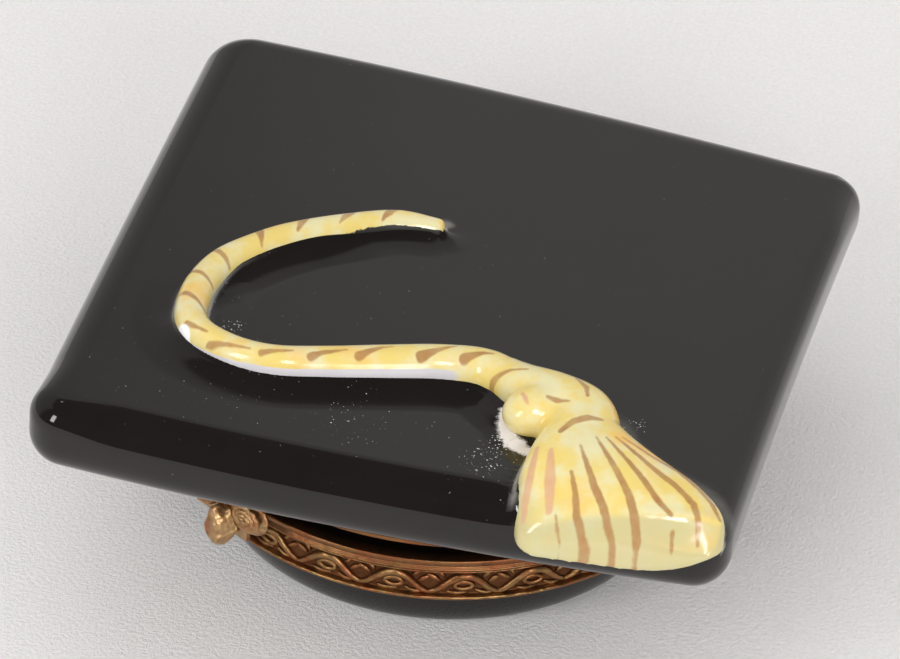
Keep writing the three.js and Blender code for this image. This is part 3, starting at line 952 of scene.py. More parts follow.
# Rings from the hollow's ceiling down its wall, out round the collar and the edge, and in over the top
def boardRings(values):
    core, outwards = boardCore(values)
    bearing = np.arctan2(core[:, 1], core[:, 0])
    around = np.column_stack([np.cos(bearing), np.sin(bearing)])
    underside = shared["boardUnderside"]
    hollowTop = boardTop - values["crust"]
    cavity = shared["cavityRadius"]
    collar, bottom = values["collarRadius"], values["collarBottom"]
    profile = rounded(
        [
            (6, hollowTop, 0),
            (cavity, hollowTop, values["hollowCorner"]),
            (cavity, bottom, 0.25),
            (collar, bottom, 0.3),
            (collar, underside, 0.3),
            (collar + 0.8, underside, 0),
        ],
        steps=5,
        closed=False,
    )
    rings = [level(radius * around, height) for radius, height in spaced(profile, 2.2, closed=False)]
    last = rings[-1][:, :2]
    rings += [level(last + (core - last) * share, underside) for share in (0.3, 0.65)]
    edge = values["edgeRadius"]
    for angle in np.linspace(-np.pi / 2, 0, 9):
        plan = core + outwards * edge * math.cos(angle)
        rings.append(level(plan, underside + edge * (1 + math.sin(angle))))
    # the upper edge is rounded less at the near left corner and along the right side
    leftCorner = np.array(values["corners"][0]) * halfSide
    tight = values["cornerTighter"] * smoothStep(*values["cornerReach"], fromLine(core, *leftCorner))
    rightSide = smoothStep(*values["rightFacing"], outwards[:, 0])
    tight += values["rightTighter"] * rightSide * smoothStep(*values["rightBefore"], core[:, 1])
    upperRadius = edge - tight[:, None]
    for angle in np.linspace(0, np.pi / 2, 13):
        plan = core + outwards * (edge - upperRadius * (1 - math.cos(angle)))
        rings.append(np.hstack([plan, boardTop - upperRadius * (1 - math.sin(angle))]))
    for share in np.linspace(1, 0, values["topRings"] + 1)[1:-1]:
        rings.append(level(core * share, boardTop))
    return rings


# Cuts the faces between chosen points finer
def refineNear(piece, near, cuts):
    work = openMeshes(piece.data)
    edges = [edge for edge in work.edges if near[edge.verts[0].index] and near[edge.verts[1].index]]
    bmesh.ops.subdivide_edges(work, edges=edges, cuts=cuts, use_grid_fill=True)
    writeMesh(work, piece.data)
    piece.data.update()
    piece.data.shade_smooth()


# The glaze rises where the raised work stands on it, in a long slope on its near side
def raiseGlaze(piece, values):
    places = placesOf(piece)
    gap = reliefGap(places[:, :2], tasselValues)
    low, high = values["refineGap"]
    refineNear(piece, (places[:, 2] > boardTop - 0.4) & (gap > low) & (gap < high), 2)
    places = placesOf(piece)
    upper = places[:, 2] > boardTop - values["upperFrom"]
    gap = np.full(len(places), farOff)
    gap[upper] = reliefGap(places[upper, :2], tasselValues)
    facing = np.clip(normalsOf(piece)[:, 2], 0, 1)
    step = 0.05
    slope = np.zeros(len(places))
    slope[upper] = reliefGap(places[upper, :2] - (0, step), tasselValues) - gap[upper]
    nearSide = smoothStep(*values["nearFacing"], slope / step)
    reaches, slopes = np.array(values["nearSlopes"]).T
    away = np.linspace(0, reaches[-1], 200)
    heights = (np.interp(away, reaches, slopes) * away[1])[::-1].cumsum()[::-1]
    share, *reach = values["lowerAtEnd"]
    lower = 1 - share * smoothStep(*reach, fromLine(places, *values["cordEnd"]))
    rise = nearSide * lower * np.interp(gap, away, heights, right=0)
    rise += values["filletHeight"] * np.clip(1 - np.maximum(gap, 0) / values["filletReach"], 0, 1) ** 2
    places[:, 2] += rise * smoothStep(*values["standsFrom"], gap) * facing**2 * upper
    writePlaces(piece, places)
    return places, upper, gap, nearSide


def markBoard(piece, places, upper, gap, nearSide, marks, hollow):
    # a painted halo of light: round the raised work's far side, wider beside the skirt and round the cord's
    # free end
    inner, outer = marks["rimGap"]
    rim = smoothStep(*inner, gap) * smoothStep(*outer, gap) * (1 - nearSide)
    acrossFrom, alongFrom, alongTo = marks["skirtSide"]
    besideSkirt = smoothStep(*acrossFrom, places[:, 0]) * smoothStep(*alongFrom, places[:, 1])
    besideSkirt *= (1 - nearSide) * smoothStep(*alongTo, places[:, 1])
    amount, *reach = marks["skirtRim"]
    rim = np.maximum(rim, amount * besideSkirt * smoothStep(*reach, gap) * (gap > inner[0]))
    amount, *reach = marks["endRim"]
    rim = np.maximum(rim, amount * smoothStep(*reach, fromLine(places, *marks["cordEnd"])))
    strays = np.zeros(len(places))
    for x, y, reach, amount in marks["strays"]:
        strays = np.maximum(strays, amount * smoothStep(reach, 0.2 * reach, fromLine(places, x, y)))
    writeAttributes(
        piece,
        # a painted halo of light round the raised work
        whiteInside=hollow,
        reliefRim=rim * upper,
        strayGlaze=strays * upper,
        whitePool=np.where(upper, strokeGap(places[:, :2], marks["pool"]), noPaint),
    )


def board(values, marks):
    hollowTop = boardTop - values["crust"]
    piece = makePiece("board", *skin(boardRings(values), (0, 0, hollowTop), (0, 0, boardTop)))
    places, upper, gap, nearSide = raiseGlaze(piece, values)
    hollow = (places[:, 2] < hollowTop + 0.02) & (fromLine(places) < shared["cavityRadius"] + 0.3)
    markBoard(piece, places, upper, gap, nearSide, marks, hollow)
    settle(piece, "lid", "black_glaze", black, "mortarboard")


board(boardValues, boardMarks)


# Tassel. Each painted stroke is a run of (x, y, half width) on the board's plan

brownStrokes = [
    [(-6.8, 5.5, 0.5), (-7.1, 4.6, 0.42), (-7.4, 3.7, 0.1)],
    [(-10.0, 3.9, 0.5), (-10.3, 3.0, 0.42), (-10.6, 1.9, 0.1)],
    [(-13.5, 1.7, 0.5), (-13.55, 0.8, 0.44), (-13.6, -0.4, 0.1)],
    [(-16.8, -1.1, 0.48), (-16.4, -2.0, 0.42), (-15.9, -3.3, 0.12)],
    [(-19.2, -5.6, 0.34), (-18.3, -6.3, 0.32), (-17.4, -7.1, 0.12)],
    [(-20.6, -8.9, 0.34), (-19.4, -9.4, 0.3), (-18.1, -10.2, 0.12)],
    [(-20.1, -12.5, 0.36), (-19.5, -12.8, 0.34), (-18.6, -13.4, 0.24), (-17.6, -14.4, 0.1)],
    [(-18.8, -16.5, 0.3), (-17.8, -17.1, 0.2), (-16.7, -17.6, 0.1)],
    [(-16.3, -18.6, 0.3), (-14.8, -18.7, 0.22), (-12.8, -18.9, 0.1)],
    [(-11.8, -19.1, 0.36), (-11.0, -18.8, 0.26), (-9.4, -18.3, 0.12)],
    [(-7.9, -18.4, 0.42), (-7.1, -17.8, 0.3), (-5.3, -16.9, 0.12)],
    [(-4.2, -17.2, 0.5), (-3.7, -16.7, 0.38), (-2.7, -15.8, 0.22), (-1.8, -15.4, 0.1)],
    [(0.6, -15.7, 0.6), (1.2, -15.2, 0.44), (2.1, -14.5, 0.26), (3.1, -13.8, 0.1)],
    [(4.0, -15.0, 0.56), (4.6, -14.6, 0.42), (5.4, -14.2, 0.26), (6.2, -14.1, 0.1)],
    [(6.7, -16.4, 0.34), (7.2, -16.3, 0.28), (8, -16.1, 0.2), (9.4, -16.1, 0.1)],
    [(13.5, -16.5, 0.2), (14.5, -17.5, 0.34), (14.9, -18.7, 0.14)],
    [(11.8, -19.3, 0.22), (12.7, -19.4, 0.26), (13.6, -19.5, 0.1)],
    [(13.7, -22.9, 0.3), (14.4, -21.8, 0.42), (15.5, -21.1, 0.38), (16.6, -20.7, 0.16)],
    [(15.5, -26.7, 0.16), (16.3, -28.4, 0.3), (16.8, -29.8, 0.38), (17.6, -30.6, 0.3), (18.2, -30.7, 0.1)],
    [(15.6, -24.2, 0.12), (16.6, -26, 0.28), (17.6, -27.6, 0.36), (18.5, -28.7, 0.4), (19.2, -29.7, 0.36)],
    [(19.2, -29.7, 0.36), (19.9, -30.4, 0.26), (20.2, -30.5, 0.1)],
    [(16.6, -23, 0.12), (17.7, -24.4, 0.26), (19.1, -26.1, 0.32), (20.4, -27.7, 0.38), (21.3, -29.2, 0.44)],
    [(21.3, -29.2, 0.44), (21.8, -30.1, 0.4), (21.9, -30.3, 0.2)],
    [(17.4, -22.8, 0.12), (19.1, -24.3, 0.24), (20.8, -25.8, 0.3), (22.4, -27.3, 0.32), (24, -28.5, 0.24)],
    [(24.4, -29.3, 0.24), (24.6, -30, 0.14)],
    [(18.1, -22.4, 0.12), (19.9, -23.6, 0.24), (21.9, -24.9, 0.3), (23.7, -25.8, 0.34), (25.5, -27, 0.36)],
    [(25.5, -27, 0.36), (26.3, -28.5, 0.32), (26.5, -29.4, 0.16)],
    [(18.6, -22.1, 0.12), (21.1, -23.2, 0.24), (23.5, -23.9, 0.3), (25.6, -25.1, 0.34), (26.9, -26.2, 0.3)],
    [(26.9, -26.2, 0.3), (27.8, -27.6, 0.14)],
    [(15.1, -29.8, 0.1), (15.4, -30.4, 0.16), (15.8, -30.8, 0.08)],
]
pinkStrokes = [
    [(9.7, -19.2, 0.12), (10.1, -19.8, 0.2), (10.4, -20.2, 0.1)],
    [(12.2, -24.5, 0.2), (12.3, -26.6, 0.34), (12.4, -28.4, 0.34), (12.6, -29.9, 0.2)],
    [(13.4, -24.9, 0.24), (14, -27.5, 0.5), (14.5, -29.5, 0.3)],
]


# Where the other marks lie. Rows count along the cord from its free end, across and height are shares
# of the cord's own half sizes, and a pair says where a mark is absent and where it is full
tasselMarks = {
    "pinkFullness": 0.9,
    "brownFullness": 0.8,
    "lowerRun": ((56, 70), (140, 126)),
    "flankAcross": (-0.05, -0.3),
    "flankTops": ((56, 76, 98, 130), (-0.35, -0.1, 0.34, 0.4)),
    "flankFade": (0.08, -0.08),
    "raggedRun": (27, 12),
    "raggedAcross": (0.35, 1.0),
    "raggedHeight": (0.8, 0.3),
    "brownAbove": (132, 0.3, 1.2),
    # backwards and farEdge: the band of faces turned away from the front that carries a painted sheen of
    # light
    "backwards": (-0.2, 0.98),
    "farEdge": ((0.3, 0.5), (0.8, 0.65), (-22, -19)),
    # bead and the radius after it: where a painted highlight lies on the cord's bend
    "bead": (-18.9, -17.1, 0.8),
    "beadRadius": (1.15, 0.9),
    # hemSteep and hemFrom: where the painted shade lies on the hem's steep front
    "hemSteep": (0.84, 0.5),
    "hemFrom": (-26, -27.5),
    "warmEverywhere": 0.45,
    "warmSkirt": ((9, 11), (-24, -21)),
    "warmSpots": [(12.3, -16.2, 0.8, 2.2, 0.6, 1), (11.4, -19.2, 1, 3.2, 1.6, -0.45)],
}


# One skin from the cord, the knot, its lobe and the skirt, softened where they melt together
def tasselSkin(values):
    cord = barSkin(cordTable, values["cordWidth"], *values["cordSteps"], values["cutBluntness"])
    knot = barSkin(knotTable, values["knotRadius"], *values["knotSteps"])
    lobe = lobeSkin(values)
    for points, _ in (cord, knot, lobe):
        points[:, 2] = np.maximum(points[:, 2], boardTop - values["sunk"])
    parts = []
    for name, part in (("cord", cord), ("knot", knot), ("lobe", lobe), ("skirt", skirtSkin(values))):
        mesh = rawMesh(name, *part)
        facingOut(mesh)
        parts.append(mesh)
    mesh = bpy.data.meshes.new("tassel")
    writeMesh(openMeshes(*parts), mesh)
    piece = placed("tassel", mesh)
    remesh = piece.modifiers.new("oneSkin", "REMESH")
    remesh.mode = "VOXEL"
    remesh.voxel_size = values["voxel"] * mm
    remesh.use_smooth_shade = True
    soften(piece, 8)
    melted = piece.vertex_groups.new(name="melted")
    places = placesOf(piece)
    weights = 0.8 * smoothStep(*values["hemMelt"], places[:, 1])
    for x, y, reach in values["meltedAt"]:
        weights = np.maximum(weights, smoothStep(reach, 0.35 * reach, fromLine(places, x, y)))
    for index in np.flatnonzero(weights > 0.01):
        melted.add([int(index)], float(weights[index]), "REPLACE")
    soften(piece, 90, "melted")
    piece.data.shade_smooth()
    return piece


def soften(piece, times, group=""):
    smooth = piece.modifiers.new("soften", "SMOOTH")
    smooth.factor = 0.5
    smooth.iterations = times
    smooth.vertex_group = group
    bake(piece)


def markTassel(piece, places, marks):
    plan = places[:, :2]
    pink = strokeGap(plan, pinkStrokes, marks["pinkFullness"])
    brown = strokeGap(plan, brownStrokes, marks["brownFullness"])
    centres, along, sizes = barPath(cordTable, tasselValues["cordWidth"], tasselValues["cordSteps"][0])
    row = nearestCentre(plan, centres)[0]
    side = np.column_stack([-along[row, 1], along[row, 0]])
    offset = ((plan - centres[row, :2]) * side).sum(axis=1) / sizes[row, 0]
    high = (places[:, 2] - centres[row, 2]) / sizes[row, 1]
    row = row.astype(float)
    starting, ending = marks["lowerRun"]
    lowerRun = smoothStep(*starting, row) * smoothStep(*ending, row)
    flankTop = np.interp(row, *marks["flankTops"])
    flank = smoothStep(*marks["flankAcross"], offset) * smoothStep(*marks["flankFade"], high - flankTop)
    ragged = smoothStep(*marks["raggedAcross"], offset) * smoothStep(*marks["raggedHeight"], high)
    lastRow, top, slope = marks["brownAbove"]
    onTop = np.maximum(brown, slope * (top - high))
    facing = normalsOf(piece)
    # faces turned away from the front get a painted sheen of light, as along a lit outline
    backwards = facing[:, 0] * marks["backwards"][0] + facing[:, 1] * marks["backwards"][1]
    starting, ending, before = marks["farEdge"]
    farEdge = smoothStep(*starting, backwards) * smoothStep(*ending, backwards)
    # how far each point lies from the painted highlight on the cord's bend
    bead = np.linalg.norm(places - marks["bead"] - (0, 0, boardTop), axis=1)
    across, alongSkirt = marks["warmSkirt"]
    warmth = smoothStep(*across, plan[:, 0]) * smoothStep(*alongSkirt, plan[:, 1])
    warmth += marks["warmEverywhere"]
    for x, y, squeeze, outer, inner, amount in marks["warmSpots"]:
        warmth += amount * smoothStep(outer, inner, fromLine(plan, x, y, squeeze))
    writeAttributes(
        piece,
        pinkStroke=pink,
        brownStroke=np.where(row < lastRow, onTop, brown),
        bareFlank=flank * lowerRun,
        raggedEdge=smoothStep(*marks["raggedRun"], row) * ragged,
        # a painted sheen of light along the far outline
        paleEdge=farEdge * smoothStep(*before, plan[:, 1]),
        # a painted highlight on the cord's bend
        whiteBead=smoothStep(*marks["beadRadius"], bead),
        # painted shade on the hem's steep front
        hemFace=smoothStep(*marks["hemSteep"], facing[:, 2]) * smoothStep(*marks["hemFrom"], plan[:, 1]),
        warmth=np.clip(warmth, 0, 1),
    )


def tassel(values, marks):
    piece = tasselSkin(values)
    # the hem's right end hangs over the board's edge
    places = placesOf(piece)
    across, along, heights = values["hangFrom"]
    hang = smoothStep(*across, places[:, 0]) * smoothStep(*along, places[:, 1])
    hang *= smoothStep(boardTop + heights[0], boardTop + heights[1], places[:, 2])
    places -= hang[:, None] * values["hemHang"]
    writePlaces(piece, places)
    markTassel(piece, places, marks)
    settle(piece, "lid", "yellow_glaze", yellow, "tassel_cord", "tassel_knot", "tassel_skirt")


tassel(tasselValues, tasselMarks)


# Mounts: a channel with a flange, its outer corners worn round and fine lines cut in the flange

mountValues = {
    "flange": 1.05,
    "sheet": 0.5,
    "channelInner": 20.7,
    "lipInner": 17.85,
    "lipOuter": 18.35,
    "lipReach": 1.7,
    "lineDepth": 0.1,
    "lineHalf": 0.05,
    "linesAt": (0.2, 0.36, 0.52),
    "seamShade": (0.25, 0.8),
    "steps": 256,
}


def mount(name, values, body, node, wallReach, flare=0):
    seam, away, growth = seams[body]
    flange, sheet, lip = values["flange"], values["sheet"], values["lipReach"]
    inner = values["channelInner"] + growth
    outer = inner + sheet
    face = shared["mountRadius"] + growth + flare
    half = values["lineHalf"]
    lines = []
    for place in values["linesAt"]:
        at = -flange + place
        lines += [(face, at - half, 0), (face - values["lineDepth"], at, 0.02), (face, at + half, 0)]
    profile = rounded(
        [
            (inner, -wallReach, 0.1),
            (outer, -wallReach, 0.1),
            (outer, -flange, 0.12),
            (face, -flange, 0.16),
            *lines,
            (face, 0, 0.14),
            (values["lipInner"], 0, 0.2),
            (values["lipInner"], -lip, 0.2),
            (values["lipOuter"], -lip, 0.2),
            (values["lipOuter"], -sheet, 0.12),
            (inner, -sheet, 0.12),
        ],
        steps=4,
    )
    profile = spaced(profile, 1.1)
    profile[:, 1] = seam - away * profile[:, 1]
    piece = makePiece(name, *skin(turnedRings(profile, values["steps"]), looped=True))
    outside, inside = values["seamShade"]
    writeAttributes(piece, seamShade=smoothStep(face - outside, face - inside, fromLine(placesOf(piece))))
    settle(piece, body, "gilt_brass", mountBrass, node)


mount("baseMount", mountValues, "base", "base_rim", 4.05)
mount("lidMount", mountValues, "lid", "lid_rim", 4.1, 0.25)


# Bands of vine work soldered round the mounts

bandValues = {
    "top": 1.3,
    "height": 2.8,
    "bead": 0.35,
    "inner": 21.45,
    "ground": 21.82,
    "lip": 0.3,
    "almond": (0.76, 0.38, 0.95),
    "almondWire": (0.2, 0.08),
    "motifs": 24,
    "firstAngle": 0.04,
    "steps": 288,
}

# One wave of the vine: rows of (along, height over the bead, radius, stand), then samples and sides
vinePaths = [
    (
        [
            (-3.0, 0.14, 0.2, 0.04),
            (-2.3, 0.42, 0.26, 0.1),
            (-1.4, 1.2, 0.31, 0.14),
            (-0.5, 1.82, 0.34, 0.16),
            (0.35, 1.95, 0.34, 0.16),
            (1.1, 1.58, 0.31, 0.14),
            (1.8, 0.88, 0.28, 0.12),
            (2.5, 0.34, 0.24, 0.08),
            (3.1, 0.12, 0.18, 0.02),
        ],
        40,
        10,
    ),
    ([(0.9, 0.5, 0.12, 0.06), (1.7, 0.2, 0.2, 0.1), (2.6, 0.26, 0.12, 0.04)], 12, 8),
    ([(-1.9, 1.35, 0.12, 0.04), (-2.45, 1.78, 0.24, 0.06), (-3.0, 2.0, 0.12, 0.02)], 8, 6),
    ([(-1.6, 1.7, 0.1, 0.04), (-1.8, 2.1, 0.2, 0.06), (-2.15, 2.3, 0.1, 0.02)], 8, 6),
    ([(2.0, 1.2, 0.12, 0.04), (2.5, 1.62, 0.24, 0.06), (2.95, 1.8, 0.12, 0.02)], 8, 6),
    ([(1.5, 1.75, 0.1, 0.04), (1.9, 2.05, 0.2, 0.06), (2.2, 2.28, 0.1, 0.02)], 8, 6),
    ([(-1.4, 0.3, 0.12, 0.04), (-0.7, 0.18, 0.22, 0.06), (0.4, 0.22, 0.12, 0.02)], 10, 6),
]


def onRing(along, height, radius):
    return np.stack([radius * np.cos(along / radius), radius * np.sin(along / radius), height], axis=-1)


# A bar that follows such rows laid on the ring's ground, or a closed loop through them
def vineBar(table, samples, sides, ground, closed=False):
    rows = np.asarray(table, float) if closed else through(table, samples)
    flat = rows[:, :2]
    slope = np.roll(flat, -1, axis=0) - np.roll(flat, 1, axis=0) if closed else np.gradient(flat, axis=0)
    slope /= np.linalg.norm(slope, axis=1, keepdims=True)
    angles = np.linspace(0, 2 * np.pi, sides, endpoint=False)
    rings = []
    for (along, height, radius, stand), (dx, dz) in zip(rows, slope):
        across = np.cos(angles) * radius
        up = np.sin(angles) * radius
        rings.append(onRing(along - dz * across, height + dx * across, ground + stand + up))
    if closed:
        return skin(rings, looped=True)
    return skin(rings, rings[0].mean(axis=0), rings[-1].mean(axis=0))


def vineMotif(name, values, flip):
    ground = values["ground"]
    skins = [vineBar(table, samples, sides, ground) for table, samples, sides in vinePaths]
    count = 22
    turn = np.linspace(0, 2 * np.pi, count, endpoint=False)
    long, high, middle = values["almond"]
    pointed = high * np.sin(turn) * (1 - 0.25 * np.cos(turn) ** 2)
    wire = [np.full(count, value) for value in values["almondWire"]]
    almond = np.column_stack([long * np.cos(turn), middle + pointed, *wire])
    skins.append(vineBar(almond, count, 7, ground, closed=True))
    points, faces = joined(*skins)
    points[:, 2] *= flip
    return makePiece(name, points, faces)


# Repeats a motif round the ring and joins it to the ground band
def repeatTree():
    group = bpy.data.node_groups.new("repeatRound", "GeometryNodeTree")
    inputs = {}
    for name, kind in (
        ("Geometry", "Geometry"),
        ("Motif", "Object"),
        ("Count", "Int"),
        ("First angle", "Float"),
        ("Lift", "Float"),
        ("Outwards", "Float"),
        ("Finish", "Material"),
    ):
        socket = group.interface.new_socket(name, in_out="INPUT", socket_type="NodeSocket" + kind)
        inputs[name] = socket.identifier
    group.interface.new_socket("Geometry", in_out="OUTPUT", socket_type="NodeSocketGeometry")
    tree = NodeTree(group)

    def given(name):
        return tree.node("NodeGroupInput", output=name)

    step = tree.maths("DIVIDE", 2 * math.pi, given("Count"))
    turn = tree.maths("MULTIPLY_ADD", tree.node("GeometryNodeInputIndex"), step, given("First angle"))
    radial = tree.node("ShaderNodeCombineXYZ", {}, {"X": given("Outwards"), "Z": given("Lift")})
    sockets = {"Vector": radial, "Angle": turn}
    outwards = tree.node("ShaderNodeVectorRotate", {"rotation_type": "Z_AXIS"}, sockets)
    rotation = tree.node("ShaderNodeCombineXYZ", {}, {"Z": turn})
    line = tree.node("GeometryNodePoints", {}, {"Count": given("Count")})
    ring = tree.node("GeometryNodeSetPosition", {}, {"Geometry": line, "Position": outwards})
    motif = tree.node("GeometryNodeObjectInfo", {}, {"Object": given("Motif")}, "Geometry")
    sockets = {"Points": ring, "Instance": motif, "Rotation": rotation}
    spread = tree.node("GeometryNodeInstanceOnPoints", {}, sockets)
    both = tree.node("GeometryNodeJoinGeometry", {}, {"Geometry": given("Geometry")})
    spread.feed(both.socket.node.inputs[0])
    solid = tree.node("GeometryNodeRealizeInstances", {}, {"Geometry": both})
    paint = tree.node("GeometryNodeSetMaterial", {}, {"Geometry": solid, "Material": given("Finish")})
    tree.node("NodeGroupOutput", {}, {"Geometry": paint})
    return group, inputs


repeatRound, repeatInputs = repeatTree()


def vineBand(name, values, body, node):
    seam, away, growth = seams[body]
    top, bead, lip = -values["top"], values["bead"], values["lip"]
    bottom = top - values["height"]
    inner = values["inner"] + growth
    ground = values["ground"] + growth
    face = shared["mountRadius"] + growth
    profile = rounded(
        [
            (inner, bottom, 0.06),
            (face - 0.1, bottom, 0.15),
            (face, bottom + bead / 2, 0.15),
            (face - 0.1, bottom + bead, 0.15),
            (ground, bottom + bead + 0.06, 0.1),
            (ground, top - 0.22, 0.12),
            (ground + lip, top - 0.14, 0.08),
            (ground + lip, top, 0.08),
            (inner, top, 0.06),
        ],
        steps=4,
    )
    profile = spaced(profile, 0.8)
    profile[:, 1] = seam - away * profile[:, 1]
    piece = makePiece(name, *skin(turnedRings(profile, values["steps"]), looped=True))
    motif = vineMotif(name + "Motif", values, -away)
    modifier = piece.modifiers.new("vine", "NODES")
    modifier.node_group = repeatRound
    for key, value in (
        ("Motif", motif),
        ("Count", values["motifs"]),
        ("First angle", values["firstAngle"]),
        ("Lift", (seam - away * (bottom + bead)) * mm),
        ("Outwards", growth * mm),
        ("Finish", bandBrass),
    ):
        modifier[repeatInputs[key]] = value
    bake(piece)
    bpy.data.objects.remove(motif)
    piece.data.shade_smooth()
    writeAttributes(piece, relief=(fromLine(placesOf(piece)) - ground) / (face - ground))
    settle(piece, body, "gilt_brass", bandBrass, node)


vineBand("baseBand", bandValues, "base", "base_gallery")
vineBand("lidBand", bandValues, "lid", "lid_gallery")


# Fittings: the solids' own shapes, each with its edges eased by a width
fittings = [
    ("baseLeaf", "base_hinge_leaf", "base", mountBrass, 0.09),
    ("lidLeaf", "lid_hinge_leaf", "lid", mountBrass, 0.09),
    ("pin", "hinge_pin", "base", mountBrass, 0.05),
    ("catch", "base_catch", "base", mountBrass, 0.05),
    ("tongue", "clasp_tongue", "lid", claspBrass, 0.09),
]


def eased(name, node, body, finish, width, added=None):
    mesh = bpy.data.meshes.new(name)
    work = openMeshes(frame["nodes"][node].data)
    bmesh.ops.remove_doubles(work, verts=work.verts, dist=2e-6)
    bmesh.ops.recalc_face_normals(work, faces=work.faces)
    bmesh.ops.dissolve_limit(work, angle_limit=math.radians(1), verts=work.verts, edges=work.edges)
    writeMesh(work, mesh)
    piece = placed(name, mesh)
    bevel = piece.modifiers.new("ease", "BEVEL")
    bevel.width = width * mm
    bevel.segments = 3
    bevel.limit_method = "ANGLE"
    bevel.angle_limit = math.radians(32)
    bake(piece)
    if added:
        extra = makePiece(name + "Added", *added)
        extra.data.transform(ajar)
        writeMesh(openMeshes(piece.data, extra.data), piece.data)
        bpy.data.objects.remove(extra)
    piece.data.shade_smooth()
    settle(piece, body, "gilt_brass", finish, node, modelledShut=False)


for fitting in fittings:
    eased(*fitting)


# Clasp: nested ribs on its two loops, and a knob beaten into facets under a short neck

claspValues = {
    "azimuth": 237.5,
    "ease": 0.06,
    "ribs": [(0.5, 0.28), (0.9, 0.66), (1.28, 1.02)],
    "ribRadius": 0.26,
    "ribDome": 0.35,
    "domeSpan": 3.4,
    "bowFace": 25.05,
    "loopOffset": 2.55,
    "loopHeight": 8.45,
    "knobReach": 25.5,
    "knobHeight": 6.3,
    "knobRadius": 1.52,
    "neckFrom": 0.95,
    "neckTop": 2.5,
    "neckRadius": 1.2,
    "neckBlend": (0.5, 1.3),
    "facets": 20,
    "facetSeed": 11,
    "facetReach": (0.74, 0.9),
    "foot": 0.88,
}

claspTurn = math.radians(claspValues["azimuth"])
claspOut = np.array([math.cos(claspTurn), math.sin(claspTurn), 0])
claspAlong = np.array([-claspOut[1], claspOut[0], 0])
claspUp = np.array([0, 0, 1.0])


def claspKnob(values):
    draws = np.random.default_rng(values["facetSeed"])
    radius, neckTop = values["knobRadius"], values["neckTop"]
    ball = -radius * np.cos(np.linspace(0.12, 2.1, 26))
    heights = np.concatenate([ball, np.linspace(values["neckFrom"], neckTop, 10)])
    neck = smoothStep(*values["neckBlend"], heights)
    widths = np.sqrt(np.maximum(radius**2 - heights**2, 0)) * (1 - neck) + values["neckRadius"] * neck
    normals = draws.normal(size=(values["facets"], 3))
    normals /= np.linalg.norm(normals, axis=1, keepdims=True)
    reaches = radius * draws.uniform(*values["facetReach"], values["facets"])
    beaten = []
    for ring in turnedRings(np.column_stack([widths, heights]), 48):
        distance = np.linalg.norm(ring, axis=1)
        toPlane = reaches / np.maximum((ring / distance[:, None]) @ normals.T, 0.05)
        toPlane[:, normals[:, 2] > 0.6] = farOff  # the neck's end stays whole
        beaten.append(ring * (np.minimum(distance, toPlane.min(axis=1)) / distance)[:, None])
    points, faces = skin(beaten, -values["foot"] * radius * claspUp, claspUp * neckTop)
    middle = claspOut * values["knobReach"] + claspUp * values["knobHeight"]
    settle(makePiece("knob", points + middle, faces), "lid", "gilt_brass", claspBrass, "clasp_knob")


def claspRibs(values):
    turn = np.linspace(0, 2 * np.pi, 40, endpoint=False)
    tube = np.linspace(0, 2 * np.pi, 8, endpoint=False)[:, None]
    face = claspOut * values["bowFace"] + claspUp * values["loopHeight"]
    skins = []
    for side in (-1, 1):
        middle = face + claspAlong * side * values["loopOffset"]
        for order, (wide, high) in enumerate(values["ribs"]):
            lift = values["ribDome"] * (1 - (order / values["domeSpan"]) ** 2)
            rings = []
            for angle in turn:
                spoke = claspAlong * math.cos(angle) * wide + claspUp * math.sin(angle) * high
                away = claspAlong * math.cos(angle) / wide + claspUp * math.sin(angle) / high
                away /= np.linalg.norm(away)
                circle = np.cos(tube) * away + np.sin(tube) * claspOut
                rings.append(middle + spoke + claspOut * lift + circle * values["ribRadius"])
            skins.append(skin(rings, looped=True))
    return joined(*skins)


eased("bow", "clasp_bow", "lid", claspBrass, claspValues["ease"], claspRibs(claspValues))
claspKnob(claspValues)


# Studio, in metres. A lamp has its place, size, power and what it is hidden from

stageValues = {
    "floorHalf": 1.6,
    "paper": ((228, 226, 225), (249, 248, 248)),
    # paperNear: a darker tone painted on the paper towards the front, as shade
    "paperNear": (222, 220, 219),
    "nearFrom": (-0.04, -0.24),
    "aim": (0, 0, 0.012),
    "lamps": {
        "leftWindow": ((-0.385, -0.535, 0.36), (0.14, 0.34), 1.55, None),
        "rightWindow": ((0.31, -0.55, 0.27), (0.2, 0.34), 1.7, None),
        "overhead": ((-0.25, 0.35, 0.9), (0.6, 0.6), 0.8, "visible_glossy"),
        "glint": ((0.1, -0.485, 0.495), (0.07, 0.2), 0.8, "visible_diffuse"),
    },
}


def floor(values):
    paper = Surface(bpy.data.materials.new("paper"))
    tone = paper.mix(paper.noise(2600, 3, 0.65), *values["paper"])
    depth = paper.node("ShaderNodeSeparateXYZ", {}, {"Vector": paper.place()}, "Y")
    # painted shade: the paper darkens towards the front
    tone = paper.mix(paper.step(depth, *values["nearFrom"]), tone, values["paperNear"])
    bumps = paper.bump(paper.noise(2700, 4, 0.7), 0.00025, 0.8)
    half = values["floorHalf"]
    mesh = bpy.data.meshes.new("floor")
    corners = [(-half, -half, 0), (half, -half, 0), (half, half, 0), (-half, half, 0)]
    mesh.from_pydata(corners, [], [(0, 1, 2, 3)])
    mesh.materials.append(paper.finish(Base_Color=tone, Roughness=0.85, Normal=bumps))
    placed("floor", mesh)


# Brightnesses of what the camera, reflections and everything else see of the studio
worldValues = {
    "backdrop": 0.8,
    "room": 0.14,
    "sweep": 0.31,
    "sweepFoot": 0.2,
    "fill": 0.73,
    "lowFill": 0.26,
    "white": (1.0, 0.985, 0.965, 1),
    "skirting": (1.5, 0.8, 0.55, 1),
}


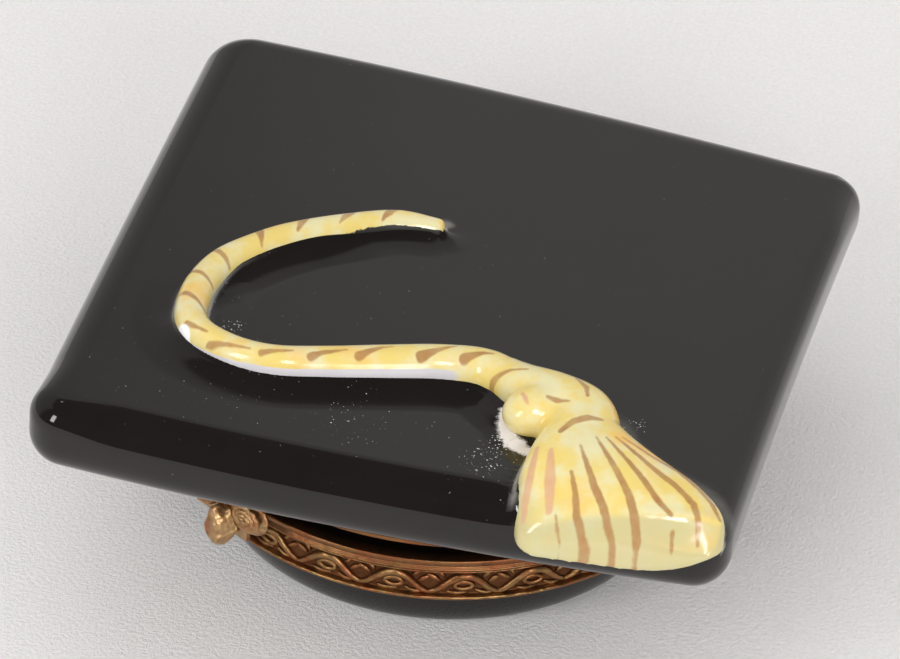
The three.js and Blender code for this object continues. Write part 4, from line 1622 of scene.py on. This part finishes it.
# Reflections see a pale sweep behind the object, low down, and a dark room above and before it.
# Everything else is lit evenly, a little more from low down.
def studioWorld(values):
    world = bpy.data.worlds.new("studio")
    bpy.context.scene.world = world
    sky = Surface(world)
    way = sky.node("ShaderNodeTexCoord", output="Generated")
    x, y, z = (sky.node("ShaderNodeSeparateXYZ", {}, {"Vector": way}, axis) for axis in "XYZ")
    nearness = 0.21 * x - 0.978 * y
    leftward = sky.step(x, -0.2, -0.45)
    sweep = sky.step(z - 0.16 * leftward, 0.71, 0.665) * sky.step(nearness, 0.15, -0.1)
    foot = sky.step(z, 0.615, 0.57) * sky.step(x, -0.2, -0.14)
    shown = values["room"] + values["sweep"] * sweep + values["sweepFoot"] * sweep * foot
    fill = values["fill"] + values["lowFill"] * sky.step(z, 0.8, 0.25)
    seen = sky.node("ShaderNodeLightPath", output="Is Camera Ray")
    glossy = sky.node("ShaderNodeLightPath", output="Is Glossy Ray")
    passing = sky.node("ShaderNodeLightPath", output="Is Transmission Ray")
    mirrored = sky.maths("MAXIMUM", glossy, passing)
    strength = seen * values["backdrop"] + mirrored * shown + (1 - seen) * (1 - mirrored) * fill
    skirting = mirrored * sky.step(z, 0.0, 0.01) * sky.step(z, 0.05, 0.03) * sky.step(nearness, 0.3, 0.6)
    tint = sky.mix(skirting, values["white"], values["skirting"])
    ground = sky.node("ShaderNodeBackground", {}, {"Color": tint, "Strength": strength})
    sky.node("ShaderNodeOutputWorld", {}, {"Surface": ground})


def lamp(name, place, size, power, hiddenFrom):
    data = bpy.data.lights.new(name, "AREA")
    data.shape = "RECTANGLE"
    data.size, data.size_y = size
    data.energy = power
    light = placed(name, data)
    place = Vector(place)
    turn = (place - Vector(stageValues["aim"])).to_track_quat("Z", "Y").to_matrix().to_4x4()
    light.matrix_world = Matrix.Translation(place) @ turn
    if hiddenFrom:
        setattr(light, hiddenFrom, False)


floor(stageValues)
studioWorld(worldValues)
for name, settings in stageValues["lamps"].items():
    lamp(name, *settings)
print("stage and lamps made")
